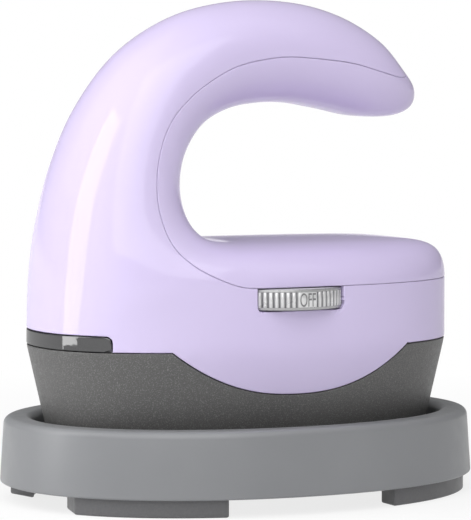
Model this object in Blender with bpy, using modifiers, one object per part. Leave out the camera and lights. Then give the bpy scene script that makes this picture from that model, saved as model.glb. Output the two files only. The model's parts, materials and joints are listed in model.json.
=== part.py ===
"""Mini handheld heat press in its safety tray.

A C-shaped two-part housing stands on a tapered heat-resistant skirt that holds the heated soleplate.
A thumbwheel in the side wall turns a rotary switch. The press rests in a footed tray and lifts out.
Metres, +Z up, toe along +X, the thumbwheel side along -Y, origin on the table under the middle.
"""
import math

import bmesh
import bpy
from mathutils import Matrix, Vector

# Clearances and finish
CLEARANCE = 0.0003           # between pieces that touch or meet at a seam
SHARP_ANGLE = math.radians(35)  # edges sharper than this stay crisp
OVERRUN = 0.004              # how far a cutter runs past what it cuts
ROOT = 0.0011                # how deep a rib or boss roots in the wall that carries it
MERGE = 0.00001              # points closer than this are one

# Tray
TRAY_REACH_ENDS = 0.0077     # how far the tray's foot stands out past the body's ends
TRAY_REACH_SIDES = 0.012
TRAY_POWER = 2.1             # superellipse exponent of the outline
TRAY_HEIGHT = 0.0185         # from the underside of the wall to the crest of the rim
TRAY_WALL = 0.0024
TRAY_DRAFT = 0.0012          # how much the outline draws in from foot to rim
TRAY_FLOOR = 0.0027
RIM_WIDTH = 0.0078
RIM_ROUND = 0.0022
CAVITY_SLOPE = 0.0018        # how much the inner wall leans in from rim to floor
FOOT_HEIGHT = 0.005
FOOT_INSET = 0.002
FOOT_WIDTH = 0.0075
FOOT_FROM_END = 0.009        # from the end of the tray
FOOT_LENGTH = 0.0356
FOOT_START_Y = 0.012
FOOT_ROOT = 0.003
PAD_RADIUS = 0.005
PAD_THICKNESS = 0.002
PAD_FROM_END = 0.0323        # from the end of the body
PAD_Y = 0.0135

# Press body: the block
BODY_LENGTH = 0.1246
BODY_WIDTH = 0.080
BODY_POWER = 2.28            # superellipse exponent of the plan
SOLE_PROUD = 0.0032          # how far the soleplate stands below the skirt
SKIRT_HEIGHT = 0.0305
SKIRT_TAPER = math.radians(12.5)
HOUSING_RISE = 0.0173        # from the skirt's flat seam to the deck seam
DECK_CROWN = 0.0114
CROWN_POWER_ALONG = 11.0
CROWN_POWER_ACROSS = 5.0
SHELL = 0.0022               # moulded wall of housing, cover, skirt and window
WAVE_DIP = 0.0125            # how far the housing dips into the skirt at mid length
WAVE_FROM_END = 0.0258       # from the end of the body to the foot of the dip
WAVE_POWER = 2.3
WINDOW_HEIGHT = 0.0044
WINDOW_REACH = 0.0115        # from the heel along the side
WINDOW_ROUND = 0.0016

# Press body: the handle
HANDLE_RISE = 0.0795         # from the deck seam to the top of the arch
HANDLE_POWER = 2.8           # of a section's inner half, a little squarer than an oval
# Stations from the tip round the heel: outer x, outer z, inner x, inner z, half width, where the widest
# line lies from outer to inner, and how much of the section is the block's instead of the handle's.
# x in half body lengths, z in handle rises above the deck seam, half width in half body widths.
HANDLE_STATION_SHARES = (
    (0.884, 0.655, 0.884, 0.655, 0.000, 0.500, 0.00),
    (0.870, 0.706, 0.860, 0.608, 0.163, 0.500, 0.00),
    (0.805, 0.765, 0.756, 0.581, 0.300, 0.500, 0.00),
    (0.677, 0.868, 0.587, 0.583, 0.400, 0.500, 0.00),
    (0.477, 0.951, 0.414, 0.610, 0.450, 0.500, 0.00),
    (0.238, 0.994, 0.231, 0.632, 0.475, 0.500, 0.00),
    (-0.050, 0.993, 0.050, 0.631, 0.488, 0.500, 0.00),
    (-0.328, 0.938, -0.112, 0.607, 0.513, 0.500, 0.00),
    (-0.580, 0.812, -0.254, 0.549, 0.550, 0.500, 0.00),
    (-0.770, 0.620, -0.351, 0.450, 0.600, 0.520, 0.00),
    (-0.888, 0.413, -0.384, 0.342, 0.650, 0.540, 0.00),
    (-0.957, 0.209, -0.361, 0.241, 0.713, 0.560, 0.15),
    (-0.988, 0.030, -0.299, 0.180, 0.800, 0.585, 0.37),
    (-0.999, -0.150, -0.194, 0.158, 0.890, 0.625, 0.66),
    (-1.000, -0.310, -0.060, 0.148, 0.960, 0.684, 1.00),
)
# Seam between housing and inner cover, from the deck round the heel to the top of the tip, same shares
COVER_SEAM_SHARES = (
    (-0.200, 0.000), (-0.280, 0.005), (-0.376, 0.031), (-0.480, 0.077), (-0.555, 0.142),
    (-0.590, 0.226), (-0.602, 0.322), (-0.581, 0.442), (-0.517, 0.561), (-0.408, 0.650),
    (-0.277, 0.718), (-0.147, 0.764), (0.008, 0.789), (0.162, 0.794), (0.424, 0.775),
    (0.592, 0.745), (0.717, 0.724), (0.790, 0.728), (0.828, 0.758), (0.842, 0.840),
)
RINGS_PER_STATION = 2
OUTER_STEPS = 6
INNER_STEPS = 5
HEEL_RINGS = 2
BLOCK_RINGS = 10
SEAM_STEPS = 2
WAVE_STEPS = 9
ARC_STEPS = 3                # along a small rounded corner
BEND_STEPS = 4               # along a quarter bend
HEATER_STEPS = 12
SCREW_STEPS = 8
PLAN_STEPS = 40
TRAY_STEPS = 46
ROUND_STEPS = 10

# Thumbwheel and its switch
WHEEL_RADIUS = 0.0187
WHEEL_PROUD = 0.0038         # beyond the housing wall
WHEEL_THICKNESS = 0.0058
WHEEL_COLLAR = 0.0008
WHEEL_RIB_DEPTH = 0.0006
WHEEL_RIBS = 36
WHEEL_PAD_HALF_ANGLE = math.radians(7.5)
WHEEL_PAD_STEP = math.radians(60.0)
WHEEL_PADS = 4
WHEEL_FLOAT = 0.0008         # running gap above and below the wheel
SLOT_HALF_WIDTH = 0.0133
SLOT_ROUND = 0.0012
SHAFT_RADIUS = 0.003
SHAFT_TOP_ABOVE_WHEEL = 0.0052
SWITCH_SIZE = 0.013
SWITCH_HEIGHT = 0.0065
BEARING_RADIUS = 0.0055

# Soleplate and heater
SOLE_GAP = 0.0006            # between the plate's edge and the mouth of the skirt
SOLE_THICKNESS = 0.006
SOLE_CHAMFER = 0.0012
HEATER_RADIUS = 0.0033
HEATER_SPREAD = 0.020        # half the distance between the legs
HEATER_END_MARGIN = 0.015    # from its bend to the end of the block
HEATER_FROM_HEEL = 0.0523    # from its turned-up ends to the heel of the block
HEATER_BEND = 0.0045
HEATER_TERMINAL_RISE = 0.0045  # above the skirt's web
SOLE_BOSS_RADIUS = 0.0035
SOLE_BOSS_HEIGHT = 0.0077
SOLE_BOSS_IN_BEND = 0.007    # into the heater's bend
SOLE_BOSS_TOE_Y = 0.007
SOLE_BOSS_FROM_HEEL = 0.0243
SOLE_BOSS_HEEL_Y = 0.006
SENSOR_X = -0.005
SENSOR_SPREAD = 0.007
SENSOR_LENGTH = 0.012
SENSOR_RADIUS = 0.00215
THERMISTOR_LENGTH = 0.006
CLAMP_BAR_WIDTH = 0.006
CLAMP_BAR_THICKNESS = 0.0008
SENSOR_BOSS_RADIUS = 0.0032
SENSOR_SCREW_BITE = 0.004
STACK_GAP = 0.0006           # round the insulation and shield, and round the heater's legs
INSULATION_THICKNESS = 0.001
SHIELD_THICKNESS = 0.0008
WEB_THICKNESS = 0.0025

# Electronics
BOARD_END_MARGIN = 0.0343    # from the board's edge to the end of the block
BOARD_NEAR_MARGIN = 0.008    # and to its side
BOARD_FAR_MARGIN = 0.024
BOARD_THICKNESS = 0.0016
BOARD_POST_RADIUS = 0.003
BOARD_POST_INSET = 0.0042
RELAY_SIZE = (0.015, 0.010, 0.012)
RELAY_SHARE = 0.43           # its place along half the board
CAPACITOR_RADIUS = 0.004
CAPACITOR_HEIGHT = 0.012
CAPACITOR_SHARE = 0.5
COMPONENT_GAP = 0.0012       # beside the wheel
LED_BOARD_SIZE = (0.0016, 0.018, 0.0105)
LED_BOARD_FROM_HEEL = 0.0095
LED_RADIUS = 0.0015
LED_LENGTH = 0.0042
LED_SPACING = 0.0055
LED_COUNT = 3
LED_RIB_SIZE = (0.002, 0.010)
LEAD_RADIUS = 0.0012
LEAD_SHIFT = 0.0075          # sideways from a heater terminal to its pad on the board
LED_BOARD_DROP = 0.0028      # lamp board's lower edge below the window

# Screws, lugs, hooks and cord entry
SCREW_RADIUS = 0.0015
SCREW_HEAD_RADIUS = 0.0027
SCREW_HEAD_HEIGHT = 0.0016
SCREW_BITE = 0.0055          # how deep a screw goes into its boss
SCREW_CROWN_SHARE = 0.6      # where a head's edge starts to round off
LUG_FROM_END = 0.0153        # from the end of the block
LUG_Y = 0.013
LUG_HALF_SIZE = 0.0035
LUG_THICKNESS = 0.0025
LUG_RISE = 0.002             # underside of a lug above the flat seam
HOOK_HALF_WIDTH = 0.004
HOOK_THICKNESS = 0.0015
HOOK_LENGTH = 0.005
HOOK_ROOT_HEIGHT = 0.0024
HOOK_FROM_TOE = 0.0243
HOOK_FROM_SEAM = 0.0005      # past the end of the cover's straight seam
GLAND_FROM_HEEL = 0.0223
GLAND_DROP = 0.0053          # below the deck seam
GLAND_BORE = 0.0028
GLAND_NECK = 0.0042
GLAND_FLANGE = 0.0058
GLAND_FLANGE_THICKNESS = 0.0012
GLAND_INNER_GAP = 0.0008     # the wall is curved, the inner flange is flat
CORD_CLAMP_SHARE = 0.4375    # its distance from the wall, in half body widths
CORD_CLAMP_SPREAD = 0.0078
CORD_CLAMP_DEPTH = 0.005
CORD_CLAMP_THICKNESS = 0.0014
CORD_CLAMP_DROP = 0.003      # saddle's seat below the cord's middle
CORD_POST_RADIUS = 0.0025

# Heights that follow
FLOOR_TOP_Z = FOOT_HEIGHT + TRAY_FLOOR
RIM_TOP_Z = FOOT_HEIGHT + TRAY_HEIGHT
PAD_LOW_Z = FLOOR_TOP_Z + CLEARANCE
PAD_TOP_Z = PAD_LOW_Z + PAD_THICKNESS
SOLE_LOW_Z = PAD_TOP_Z + CLEARANCE
SOLE_TOP_Z = SOLE_LOW_Z + SOLE_THICKNESS
SKIRT_LOW_Z = SOLE_LOW_Z + SOLE_PROUD
SKIRT_TOP_Z = SKIRT_LOW_Z + SKIRT_HEIGHT
DECK_SEAM_Z = SKIRT_TOP_Z + HOUSING_RISE
WINDOW_LOW_Z = SKIRT_TOP_Z
WINDOW_TOP_Z = WINDOW_LOW_Z + WINDOW_HEIGHT
HEATER_Z = SOLE_TOP_Z + CLEARANCE + HEATER_RADIUS
BOSS_TOP_Z = SOLE_TOP_Z + SOLE_BOSS_HEIGHT
INSULATION_Z = BOSS_TOP_Z + CLEARANCE
SHIELD_Z = INSULATION_Z + INSULATION_THICKNESS + CLEARANCE
WEB_Z = SHIELD_Z + SHIELD_THICKNESS + CLEARANCE
WEB_TOP_Z = WEB_Z + WEB_THICKNESS
WHEEL_TOP_Z = DECK_SEAM_Z - CLEARANCE
WHEEL_LOW_Z = WHEEL_TOP_Z - WHEEL_THICKNESS
SWITCH_TOP_Z = WHEEL_LOW_Z - WHEEL_FLOAT
BOARD_TOP_Z = SWITCH_TOP_Z - SWITCH_HEIGHT - CLEARANCE
BOARD_Z = BOARD_TOP_Z - BOARD_THICKNESS
LUG_Z = SKIRT_TOP_Z + LUG_RISE
GLAND_Z = DECK_SEAM_Z - GLAND_DROP
CORD_CLAMP_Z = GLAND_Z - CORD_CLAMP_DROP
CLAMP_BAR_Z = SOLE_TOP_Z + CLEARANCE + 2 * SENSOR_RADIUS + CLEARANCE
LED_BOARD_Z = WINDOW_LOW_Z - LED_BOARD_DROP
SHAFT_LOW_Z = BOARD_TOP_Z + SWITCH_HEIGHT / 2
SHAFT_TOP_Z = WHEEL_TOP_Z + SHAFT_TOP_ABOVE_WHEEL

# Places that follow
HALF_LENGTH = BODY_LENGTH / 2
HALF_WIDTH = BODY_WIDTH / 2
TRAY_HALF_LENGTH = HALF_LENGTH + TRAY_REACH_ENDS
TRAY_HALF_WIDTH = HALF_WIDTH + TRAY_REACH_SIDES
FOOT_END_X = TRAY_HALF_LENGTH - FOOT_FROM_END
FOOT_START_X = FOOT_END_X - FOOT_LENGTH
PAD_X = HALF_LENGTH - PAD_FROM_END
WAVE_HALF_LENGTH = HALF_LENGTH - WAVE_FROM_END
WHEEL_Y = WHEEL_RADIUS - WHEEL_PROUD - HALF_WIDTH
HOLE_RADIUS = SCREW_RADIUS + CLEARANCE
LUG_X = HALF_LENGTH - LUG_FROM_END
HEATER_TOE_X = HALF_LENGTH - HEATER_END_MARGIN - HEATER_SPREAD - HEATER_RADIUS
HEATER_HEEL_X = HEATER_FROM_HEEL - HALF_LENGTH
SOLE_BOSS_TOE_X = HEATER_TOE_X + SOLE_BOSS_IN_BEND
SOLE_BOSS_HEEL_X = SOLE_BOSS_FROM_HEEL - HALF_LENGTH
BOARD_HALF_LENGTH = HALF_LENGTH - BOARD_END_MARGIN
BOARD_LOW_Y = BOARD_NEAR_MARGIN - HALF_WIDTH
BOARD_HIGH_Y = HALF_WIDTH - BOARD_FAR_MARGIN
RELAY_X = -RELAY_SHARE * BOARD_HALF_LENGTH
CAPACITOR_X = CAPACITOR_SHARE * BOARD_HALF_LENGTH
COMPONENT_Y = WHEEL_Y + WHEEL_RADIUS + COMPONENT_GAP + RELAY_SIZE[1] / 2
HOOK_TOE_X = HALF_LENGTH - HOOK_FROM_TOE
HOOK_HEEL_X = COVER_SEAM_SHARES[0][0] * HALF_LENGTH + HOOK_HALF_WIDTH + HOOK_FROM_SEAM
GLAND_X = GLAND_FROM_HEEL - HALF_LENGTH
CORD_CLAMP_FROM_WALL = CORD_CLAMP_SHARE * HALF_WIDTH


def clear_scene():
    for obj in list(bpy.data.objects):
        bpy.data.objects.remove(obj, do_unlink=True)


def new_collection(name):
    collection = bpy.data.collections.new(name)
    bpy.context.scene.collection.children.link(collection)
    return collection


def make_material(name, colour, roughness, metallic):
    material = bpy.data.materials.new(name)
    material.use_nodes = True
    shader = material.node_tree.nodes["Principled BSDF"]
    shader.inputs["Base Color"].default_value = (*colour, 1.0)
    shader.inputs["Roughness"].default_value = roughness
    shader.inputs["Metallic"].default_value = metallic
    return material


def mesh_object(name, bm):
    bmesh.ops.recalc_face_normals(bm, faces=bm.faces)
    mesh = bpy.data.meshes.new(name)
    bm.to_mesh(mesh)
    bm.free()
    mesh.shade_smooth()
    mesh.set_sharp_from_angle(angle=SHARP_ANGLE)
    return bpy.data.objects.new(name, mesh)


def place_piece(obj, collection, material, parent=None):
    """Put a piece in its collection, with its material, under its parent empty."""
    collection.objects.link(obj)
    if not obj.data.materials:
        obj.data.materials.append(material)
    if parent:
        obj.parent = parent
        obj.matrix_parent_inverse = Matrix.Translation(parent.location).inverted()
    return obj


def hide_cutter(obj, cutters):
    cutters.objects.link(obj)
    obj.hide_render = True
    obj.display_type = 'WIRE'
    return obj


def boolean(obj, other, operation):
    modifier = obj.modifiers.new(other.name, 'BOOLEAN')
    modifier.operation = operation
    modifier.object = other
    modifier.solver = 'EXACT'


def add_box(bm, low, high):
    size = [b - a for a, b in zip(low, high)]
    middle = [(a + b) / 2 for a, b in zip(low, high)]
    matrix = Matrix.Translation(middle) @ Matrix.Diagonal((*size, 1.0))
    bmesh.ops.create_cube(bm, size=1.0, matrix=matrix)


def add_cylinder(bm, place, radius, low, high, segments=ROUND_STEPS):
    matrix = Matrix.Translation((place[0], place[1], (low + high) / 2))
    bmesh.ops.create_cone(bm, cap_ends=True, segments=segments, radius1=radius, radius2=radius,
                          depth=high - low, matrix=matrix)


def curve_mesh(name, curve, matrix):
    """Turn a curve into a closed mesh object, with its caps welded."""
    holder = bpy.data.objects.new(name, curve)
    holder.matrix_world = matrix
    bpy.context.scene.collection.objects.link(holder)
    depsgraph = bpy.context.evaluated_depsgraph_get()
    mesh = bpy.data.meshes.new_from_object(holder.evaluated_get(depsgraph))
    mesh.transform(matrix)
    bpy.data.objects.remove(holder, do_unlink=True)
    bm = bmesh.new()
    bm.from_mesh(mesh)
    bpy.data.meshes.remove(mesh)
    bmesh.ops.remove_doubles(bm, verts=bm.verts, dist=MERGE)
    return mesh_object(name, bm)


def plate(name, outlines, low, high, upright=False):
    """Extrude a filled outline with holes: in plan, or upright in the XZ plane across Y."""
    curve = bpy.data.curves.new(name, 'CURVE')
    curve.dimensions = '2D'
    curve.fill_mode = 'BOTH'
    curve.extrude = (high - low) / 2
    for outline in outlines:
        spline = curve.splines.new('POLY')
        spline.points.add(len(outline) - 1)
        for point, (u, v) in zip(spline.points, outline):
            point.co = (u, v, 0.0, 1.0)
        spline.use_cyclic_u = True
    middle = (low + high) / 2
    if upright:
        matrix = Matrix.Translation((0.0, middle, 0.0)) @ Matrix.Rotation(math.pi / 2, 4, 'X')
    else:
        matrix = Matrix.Translation((0.0, 0.0, middle))
    return curve_mesh(name, curve, matrix)


def spread(total, steps):
    """Evenly spaced values from zero up to and with a total."""
    return [total * i / steps for i in range(steps + 1)]


def circle(place, radius, count=ROUND_STEPS):
    turns = spread(2 * math.pi, count)[:-1]
    return [(place[0] + radius * math.cos(t), place[1] + radius * math.sin(t)) for t in turns]


def tube(name, route, radius, resolution=2):
    """A round bar along a route, with flat ends."""
    curve = bpy.data.curves.new(name, 'CURVE')
    curve.dimensions = '3D'
    curve.bevel_depth = radius
    curve.bevel_resolution = resolution
    curve.use_fill_caps = True
    spline = curve.splines.new('POLY')
    spline.points.add(len(route) - 1)
    for point, place in zip(spline.points, route):
        point.co = (*place, 1.0)
    return curve_mesh(name, curve, Matrix.Identity(4))


def mirror_places(x, y):
    """The four places that mirror one another about the middle."""
    return [(sx * x, sy * y) for sx in (-1, 1) for sy in (-1, 1)]


def half_width_at(x, half_length, half_width, power):
    share = min(1.0, abs(x) / half_length)
    return half_width * (1.0 - share ** power) ** (1.0 / power)


def plan_outline(half_length, half_width, power, count=PLAN_STEPS):
    points = []
    for i in range(count):
        turn = 2 * math.pi * (i + 0.5) / count
        c, s = math.cos(turn), math.sin(turn)
        points.append((math.copysign(half_length * abs(c) ** (2 / power), c),
                       math.copysign(half_width * abs(s) ** (2 / power), s)))
    return points


def body_inset(z):
    """How far the tapered skirt has drawn in at a height."""
    return max(0.0, SKIRT_TOP_Z - z) * math.tan(SKIRT_TAPER)


def body_outline(z, inset):
    inset = inset + body_inset(z)
    return plan_outline(HALF_LENGTH - inset, HALF_WIDTH - inset, BODY_POWER)


def wall_half_width(x, inset=0.0, half_length=None):
    return half_width_at(x, half_length or HALF_LENGTH - inset, HALF_WIDTH - inset, BODY_POWER)


def deck_z(x, inset=0.0):
    share = min(1.0, abs(x) / (HALF_LENGTH - inset))
    return DECK_SEAM_Z + (DECK_CROWN - inset) * math.sqrt(1.0 - share ** CROWN_POWER_ALONG)


def crown_z(x, y):
    share = abs(y) / wall_half_width(x)
    return DECK_SEAM_Z + (deck_z(x) - DECK_SEAM_Z) * math.sqrt(1.0 - share ** CROWN_POWER_ACROSS)


def smooth_rows(rows, steps):
    """Rows read from a Catmull-Rom curve through the given rows."""
    first = [2 * a - b for a, b in zip(rows[0], rows[1])]
    last = [2 * a - b for a, b in zip(rows[-1], rows[-2])]
    rows = [first, *rows, last]
    result = []
    for i in range(1, len(rows) - 2):
        for j in range(steps):
            t = j / steps
            quad = zip(rows[i - 1], rows[i], rows[i + 1], rows[i + 2])
            result.append([0.5 * (2 * b + (c - a) * t + (2 * a - 5 * b + 4 * c - d) * t ** 2
                                  + (3 * b - a - 3 * c + d) * t ** 3) for a, b, c, d in quad])
    return result + [list(rows[-2])]


def ring_places(outer, wide, inner):
    """Places along a half section, with a share from -1 at its outer line over 0 at its widest to 1."""
    places = []
    for j in range(-OUTER_STEPS, INNER_STEPS + 1):
        share = math.sin(math.pi / 2 * j / (OUTER_STEPS if j < 0 else INNER_STEPS))
        x, z = outer if share < 0 else inner
        reach = abs(share)
        places.append((wide[0] + reach * (x - wide[0]), wide[1] + reach * (z - wide[1]), share))
    return places


def block_ring(outer, inner_x, inset):
    """Half a slanting section of the block, from its low edge up the wall and over the deck."""
    inner_z = max(deck_z(inner_x, inset), DECK_SEAM_Z + CLEARANCE)
    seam_x = outer[0] + (DECK_SEAM_Z - outer[1]) / (inner_z - outer[1]) * (inner_x - outer[0])
    ring = []
    for x, z, share in ring_places(outer, (seam_x, DECK_SEAM_Z), (inner_x, inner_z)):
        rise = max(0.0, z - DECK_SEAM_Z) / max(deck_z(x, inset) - DECK_SEAM_Z, CLEARANCE)
        full = max(0.0, 1 - rise * rise) ** (1 / CROWN_POWER_ACROSS) if share < 1 else 0.0
        ring.append((x, wall_half_width(x, inset) * full, z))
    return ring


def handle_ring(row, inset):
    """Half an oval section of the handle, which takes on the block's wall and crown near the deck."""
    width, middle, blend = max(0.0, row[4] * HALF_WIDTH - inset), row[5], min(1.0, max(0.0, row[6]))
    blend = blend * blend * (3 - 2 * blend)
    outer = Vector((max(row[0], -1.0) * HALF_LENGTH, DECK_SEAM_Z + row[1] * HANDLE_RISE))
    inner = Vector((row[2] * HALF_LENGTH, DECK_SEAM_Z + row[3] * HANDLE_RISE))
    across = inner - outer
    across = across.normalized() * min(inset, across.length / 2)
    outer, inner = outer + across, inner - across
    inner.y += blend * (deck_z(inner.x, inset) - inner.y)
    power = HANDLE_POWER + blend * (CROWN_POWER_ACROSS - HANDLE_POWER)
    ring = []
    for x, z, share in ring_places(outer, outer.lerp(inner, middle), inner):
        wall = wall_half_width(x, inset, abs(outer.x))
        oval = width * math.sqrt(1 - share * share)
        if share > 0:
            full = (1 - share * share) ** (1 / power)
            oval, wall = width * full, wall * full
        ring.append((x, oval + blend * (wall - oval), z))
    return ring


def tapered(point, inset):
    x, y, z = point
    draw = body_inset(z)
    return (x * (1 - draw / (HALF_LENGTH - inset)), y * (1 - draw / (HALF_WIDTH - inset)), z)


def handle_rows(inset):
    """The stations, ending for the cavity one station short of the tip."""
    rows = [list(row) for row in HANDLE_STATION_SHARES]
    if inset:
        last = rows[1]
        x = (last[0] + last[2]) / 2 - inset / HALF_LENGTH
        z = (last[1] + last[3]) / 2
        rows = [[x, z, x, z, inset / HALF_WIDTH, *last[5:]], *rows[2:]]
    return smooth_rows(rows, RINGS_PER_STATION)


def body_rings(inset, low_z):
    """All half sections: tip, handle, heel, then fanning over the block to the toe."""
    rings = [handle_ring(row, inset) for row in handle_rows(inset)]
    half_length = HALF_LENGTH - inset
    heel_z = rings[-1][0][2]
    start = rings[-1][-1][0] / half_length
    total = HEEL_RINGS + BLOCK_RINGS
    for k in range(1, total + 1):
        inner_x = half_length * (start + (1 - start) * math.sin(math.pi / 2 * k / total))
        down, along = min(1.0, k / HEEL_RINGS), max(0.0, (k - HEEL_RINGS) / BLOCK_RINGS)
        outer = (-half_length * math.cos(math.pi * along), heel_z + (low_z - heel_z) * down)
        rings.append(block_ring(outer, inner_x, inset))
    return [[tapered(point, inset) for point in ring] for ring in rings]


def body_form(name, inset, low_z):
    """The whole body, or its cavity, as one closed form: half a loft of sections, mirrored."""
    bm = bmesh.new()
    rows = [[bm.verts.new(point) for point in ring] for ring in body_rings(inset, low_z)]
    for row, following in zip(rows, rows[1:]):
        for a, b, c, d in zip(row, row[1:], following[1:], following):
            bm.faces.new((a, b, c, d))
    bm.faces.new([row[0] for row in rows[-1 - BLOCK_RINGS:]])
    bmesh.ops.remove_doubles(bm, verts=bm.verts, dist=MERGE)
    bmesh.ops.dissolve_degenerate(bm, edges=bm.edges, dist=MERGE)
    bmesh.ops.triangulate(bm, faces=bm.faces)
    obj = mesh_object(name, bm)
    mirror = obj.modifiers.new("mirror", 'MIRROR')
    mirror.use_axis = (False, True, False)
    mirror.use_clip = True
    mirror.merge_threshold = MERGE
    return obj


def body_region(name, outline, cutters):
    """A cutter that runs across the whole body, from an upright outline."""
    reach = HALF_WIDTH + OVERRUN
    return hide_cutter(plate(name, [outline], -reach, reach, upright=True), cutters)


def offset_path(points, distance):
    """A path moved to its left, square to its own direction."""
    moved = []
    for i, (x, z) in enumerate(points):
        before, after = points[max(i - 1, 0)], points[min(i + 1, len(points) - 1)]
        along = Vector((after[0] - before[0], after[1] - before[1])).normalized()
        moved.append((x - distance * along.y, z + distance * along.x))
    return moved


def cover_outline(distance):
    """The inner cover's side of the seam, moved outwards by a distance."""
    seam = [(x * HALF_LENGTH, DECK_SEAM_Z + z * HANDLE_RISE) for x, z in COVER_SEAM_SHARES]
    far_x = HALF_LENGTH + OVERRUN
    path = [(far_x, DECK_SEAM_Z), *smooth_rows(seam, SEAM_STEPS)]
    path = offset_path(path, distance)
    return [*path, (path[-1][0], DECK_SEAM_Z + HANDLE_RISE), (far_x, DECK_SEAM_Z + HANDLE_RISE)]


def wave_z(x):
    share = min(1.0, abs(x) / WAVE_HALF_LENGTH)
    return SKIRT_TOP_Z - WAVE_DIP * (1 - share ** WAVE_POWER)


def skirt_outline(distance, low_z):
    """The skirt's side of its wavy upper seam, moved up by a distance."""
    far_x = HALF_LENGTH + OVERRUN
    wave = [WAVE_HALF_LENGTH * (i / WAVE_STEPS) for i in range(-WAVE_STEPS, WAVE_STEPS + 1)]
    top = [(x, wave_z(x) + distance) for x in (-far_x, *wave, far_x)]
    return [*top, (far_x, low_z), (-far_x, low_z)]


def window_outline(distance):
    """The strip window at the heel, grown on its free sides by a distance."""
    far_x, end_x = -HALF_LENGTH - OVERRUN, WINDOW_REACH - HALF_LENGTH + distance
    top, low = WINDOW_TOP_Z + distance, WINDOW_LOW_Z + CLEARANCE / 2 - distance
    radius = WINDOW_ROUND + distance
    arc = [(end_x - radius + radius * math.sin(t), top - radius + radius * math.cos(t))
           for t in spread(math.pi / 2, ARC_STEPS)]
    return [(far_x, low), (far_x, top), *arc, (end_x, low)]


def wheel_cutters(cutters):
    """A slot up to the deck seam, and a round relief in the wall for the wheel's rim."""
    low, top = WHEEL_LOW_Z - WHEEL_FLOAT / 2, DECK_SEAM_Z + OVERRUN
    inner_x = SLOT_HALF_WIDTH - SLOT_ROUND
    arc = [(inner_x + SLOT_ROUND * math.sin(t), low + SLOT_ROUND * (1 - math.cos(t)))
           for t in spread(math.pi / 2, ARC_STEPS)]
    side = [*arc, (SLOT_HALF_WIDTH, top)]
    outline = side + [(-x, z) for x, z in reversed(side)]
    slot = plate("wheel_slot", [outline], -HALF_WIDTH - OVERRUN, WHEEL_Y, upright=True)
    relief = bmesh.new()
    add_cylinder(relief, (0.0, WHEEL_Y), WHEEL_RADIUS + 2 * CLEARANCE, low, top, 2 * ROUND_STEPS)
    return [hide_cutter(slot, cutters), hide_cutter(mesh_object("wheel_relief", relief), cutters)]


def make_shells(press, cutters, empty):
    """Housing, inner cover, skirt and window: one moulded wall parted along its seams."""
    low_z = SKIRT_LOW_Z - OVERRUN
    cavity = hide_cutter(body_form("cavity", SHELL, low_z - OVERRUN), cutters)

    def shell(name, material, regions, operation):
        piece = place_piece(body_form(name, 0.0, low_z), press, material, empty)
        boolean(piece, cavity, 'DIFFERENCE')
        for region in regions:
            boolean(piece, region, operation)
        return piece

    gloss = make_material("lilac_gloss", (0.72, 0.66, 0.85), 0.18, 0.0)
    grey = make_material("speckled_grey", (0.13, 0.13, 0.135), 0.55, 0.0)
    smoked = make_material("smoked_window", (0.02, 0.02, 0.022), 0.08, 0.0)
    half = CLEARANCE / 2
    window_region = body_region("window_region", window_outline(-half), cutters)
    shell("indicator_window", smoked, [window_region], 'INTERSECT')
    cover_region = body_region("cover_region", cover_outline(-half), cutters)
    cover = shell("inner_cover", gloss, [cover_region], 'INTERSECT')
    skirt_region = body_region("skirt_region", skirt_outline(-half, SKIRT_LOW_Z), cutters)
    skirt = shell("base_skirt", grey, [skirt_region], 'INTERSECT')
    clearances = [body_region("cover_clearance", cover_outline(half), cutters),
                  body_region("skirt_clearance", skirt_outline(half, low_z - 2 * OVERRUN), cutters),
                  body_region("window_clearance", window_outline(half), cutters)]
    housing = shell("housing_shell", gloss, wheel_cutters(cutters) + clearances, 'DIFFERENCE')
    return housing, cover, skirt


def wall_blocks(name, places, half_size, low, high, cutters):
    """Blocks that reach from inside places out into the middle of the side walls."""
    blocks = bmesh.new()
    for x, y in places:
        near, far = y - math.copysign(half_size, y), math.copysign(HALF_WIDTH, y)
        add_box(blocks, (x - half_size, min(near, far), low), (x + half_size, max(near, far), high))
    blocks = hide_cutter(mesh_object(name, blocks), cutters)
    trim = plate(name + "_trim", [body_outline(low, ROOT)], low - OVERRUN, high + OVERRUN)
    boolean(blocks, hide_cutter(trim, cutters), 'INTERSECT')
    return blocks


def drill(obj, name, places, radius, low, high, cutters):
    """Round holes through a piece, all in one cutter."""
    holes = bmesh.new()
    for place in places:
        add_cylinder(holes, place, radius, low, high)
    boolean(obj, hide_cutter(mesh_object(name, holes), cutters), 'DIFFERENCE')


def make_screws(name, places, bottom, seat, material, press, empty):
    """Pan-head screws whose heads sit just above a seat, one object each on a shared mesh."""
    low, high = seat + CLEARANCE, seat + CLEARANCE + SCREW_HEAD_HEIGHT
    shoulder = low + SCREW_HEAD_HEIGHT * SCREW_CROWN_SHARE
    profile = [(0.0, high), (SCREW_HEAD_RADIUS * SCREW_CROWN_SHARE, high), (SCREW_HEAD_RADIUS, shoulder),
               (SCREW_HEAD_RADIUS, low), (SCREW_RADIUS, low), (SCREW_RADIUS, bottom), (0.0, bottom)]
    bm = bmesh.new()
    add_turned(bm, profile)
    place_copies(mesh_object(name, bm), places, material, press, empty)


def place_copies(first, places, material, press, empty=None):
    """Numbered objects that share one mesh, one at each place in plan."""
    for i, (x, y) in enumerate(places):
        copy = bpy.data.objects.new(f"{first.name}_{i + 1}", first.data)
        copy.location = (x, y, 0.0)
        place_piece(copy, press, material, empty)
    bpy.data.objects.remove(first, do_unlink=True)


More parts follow.
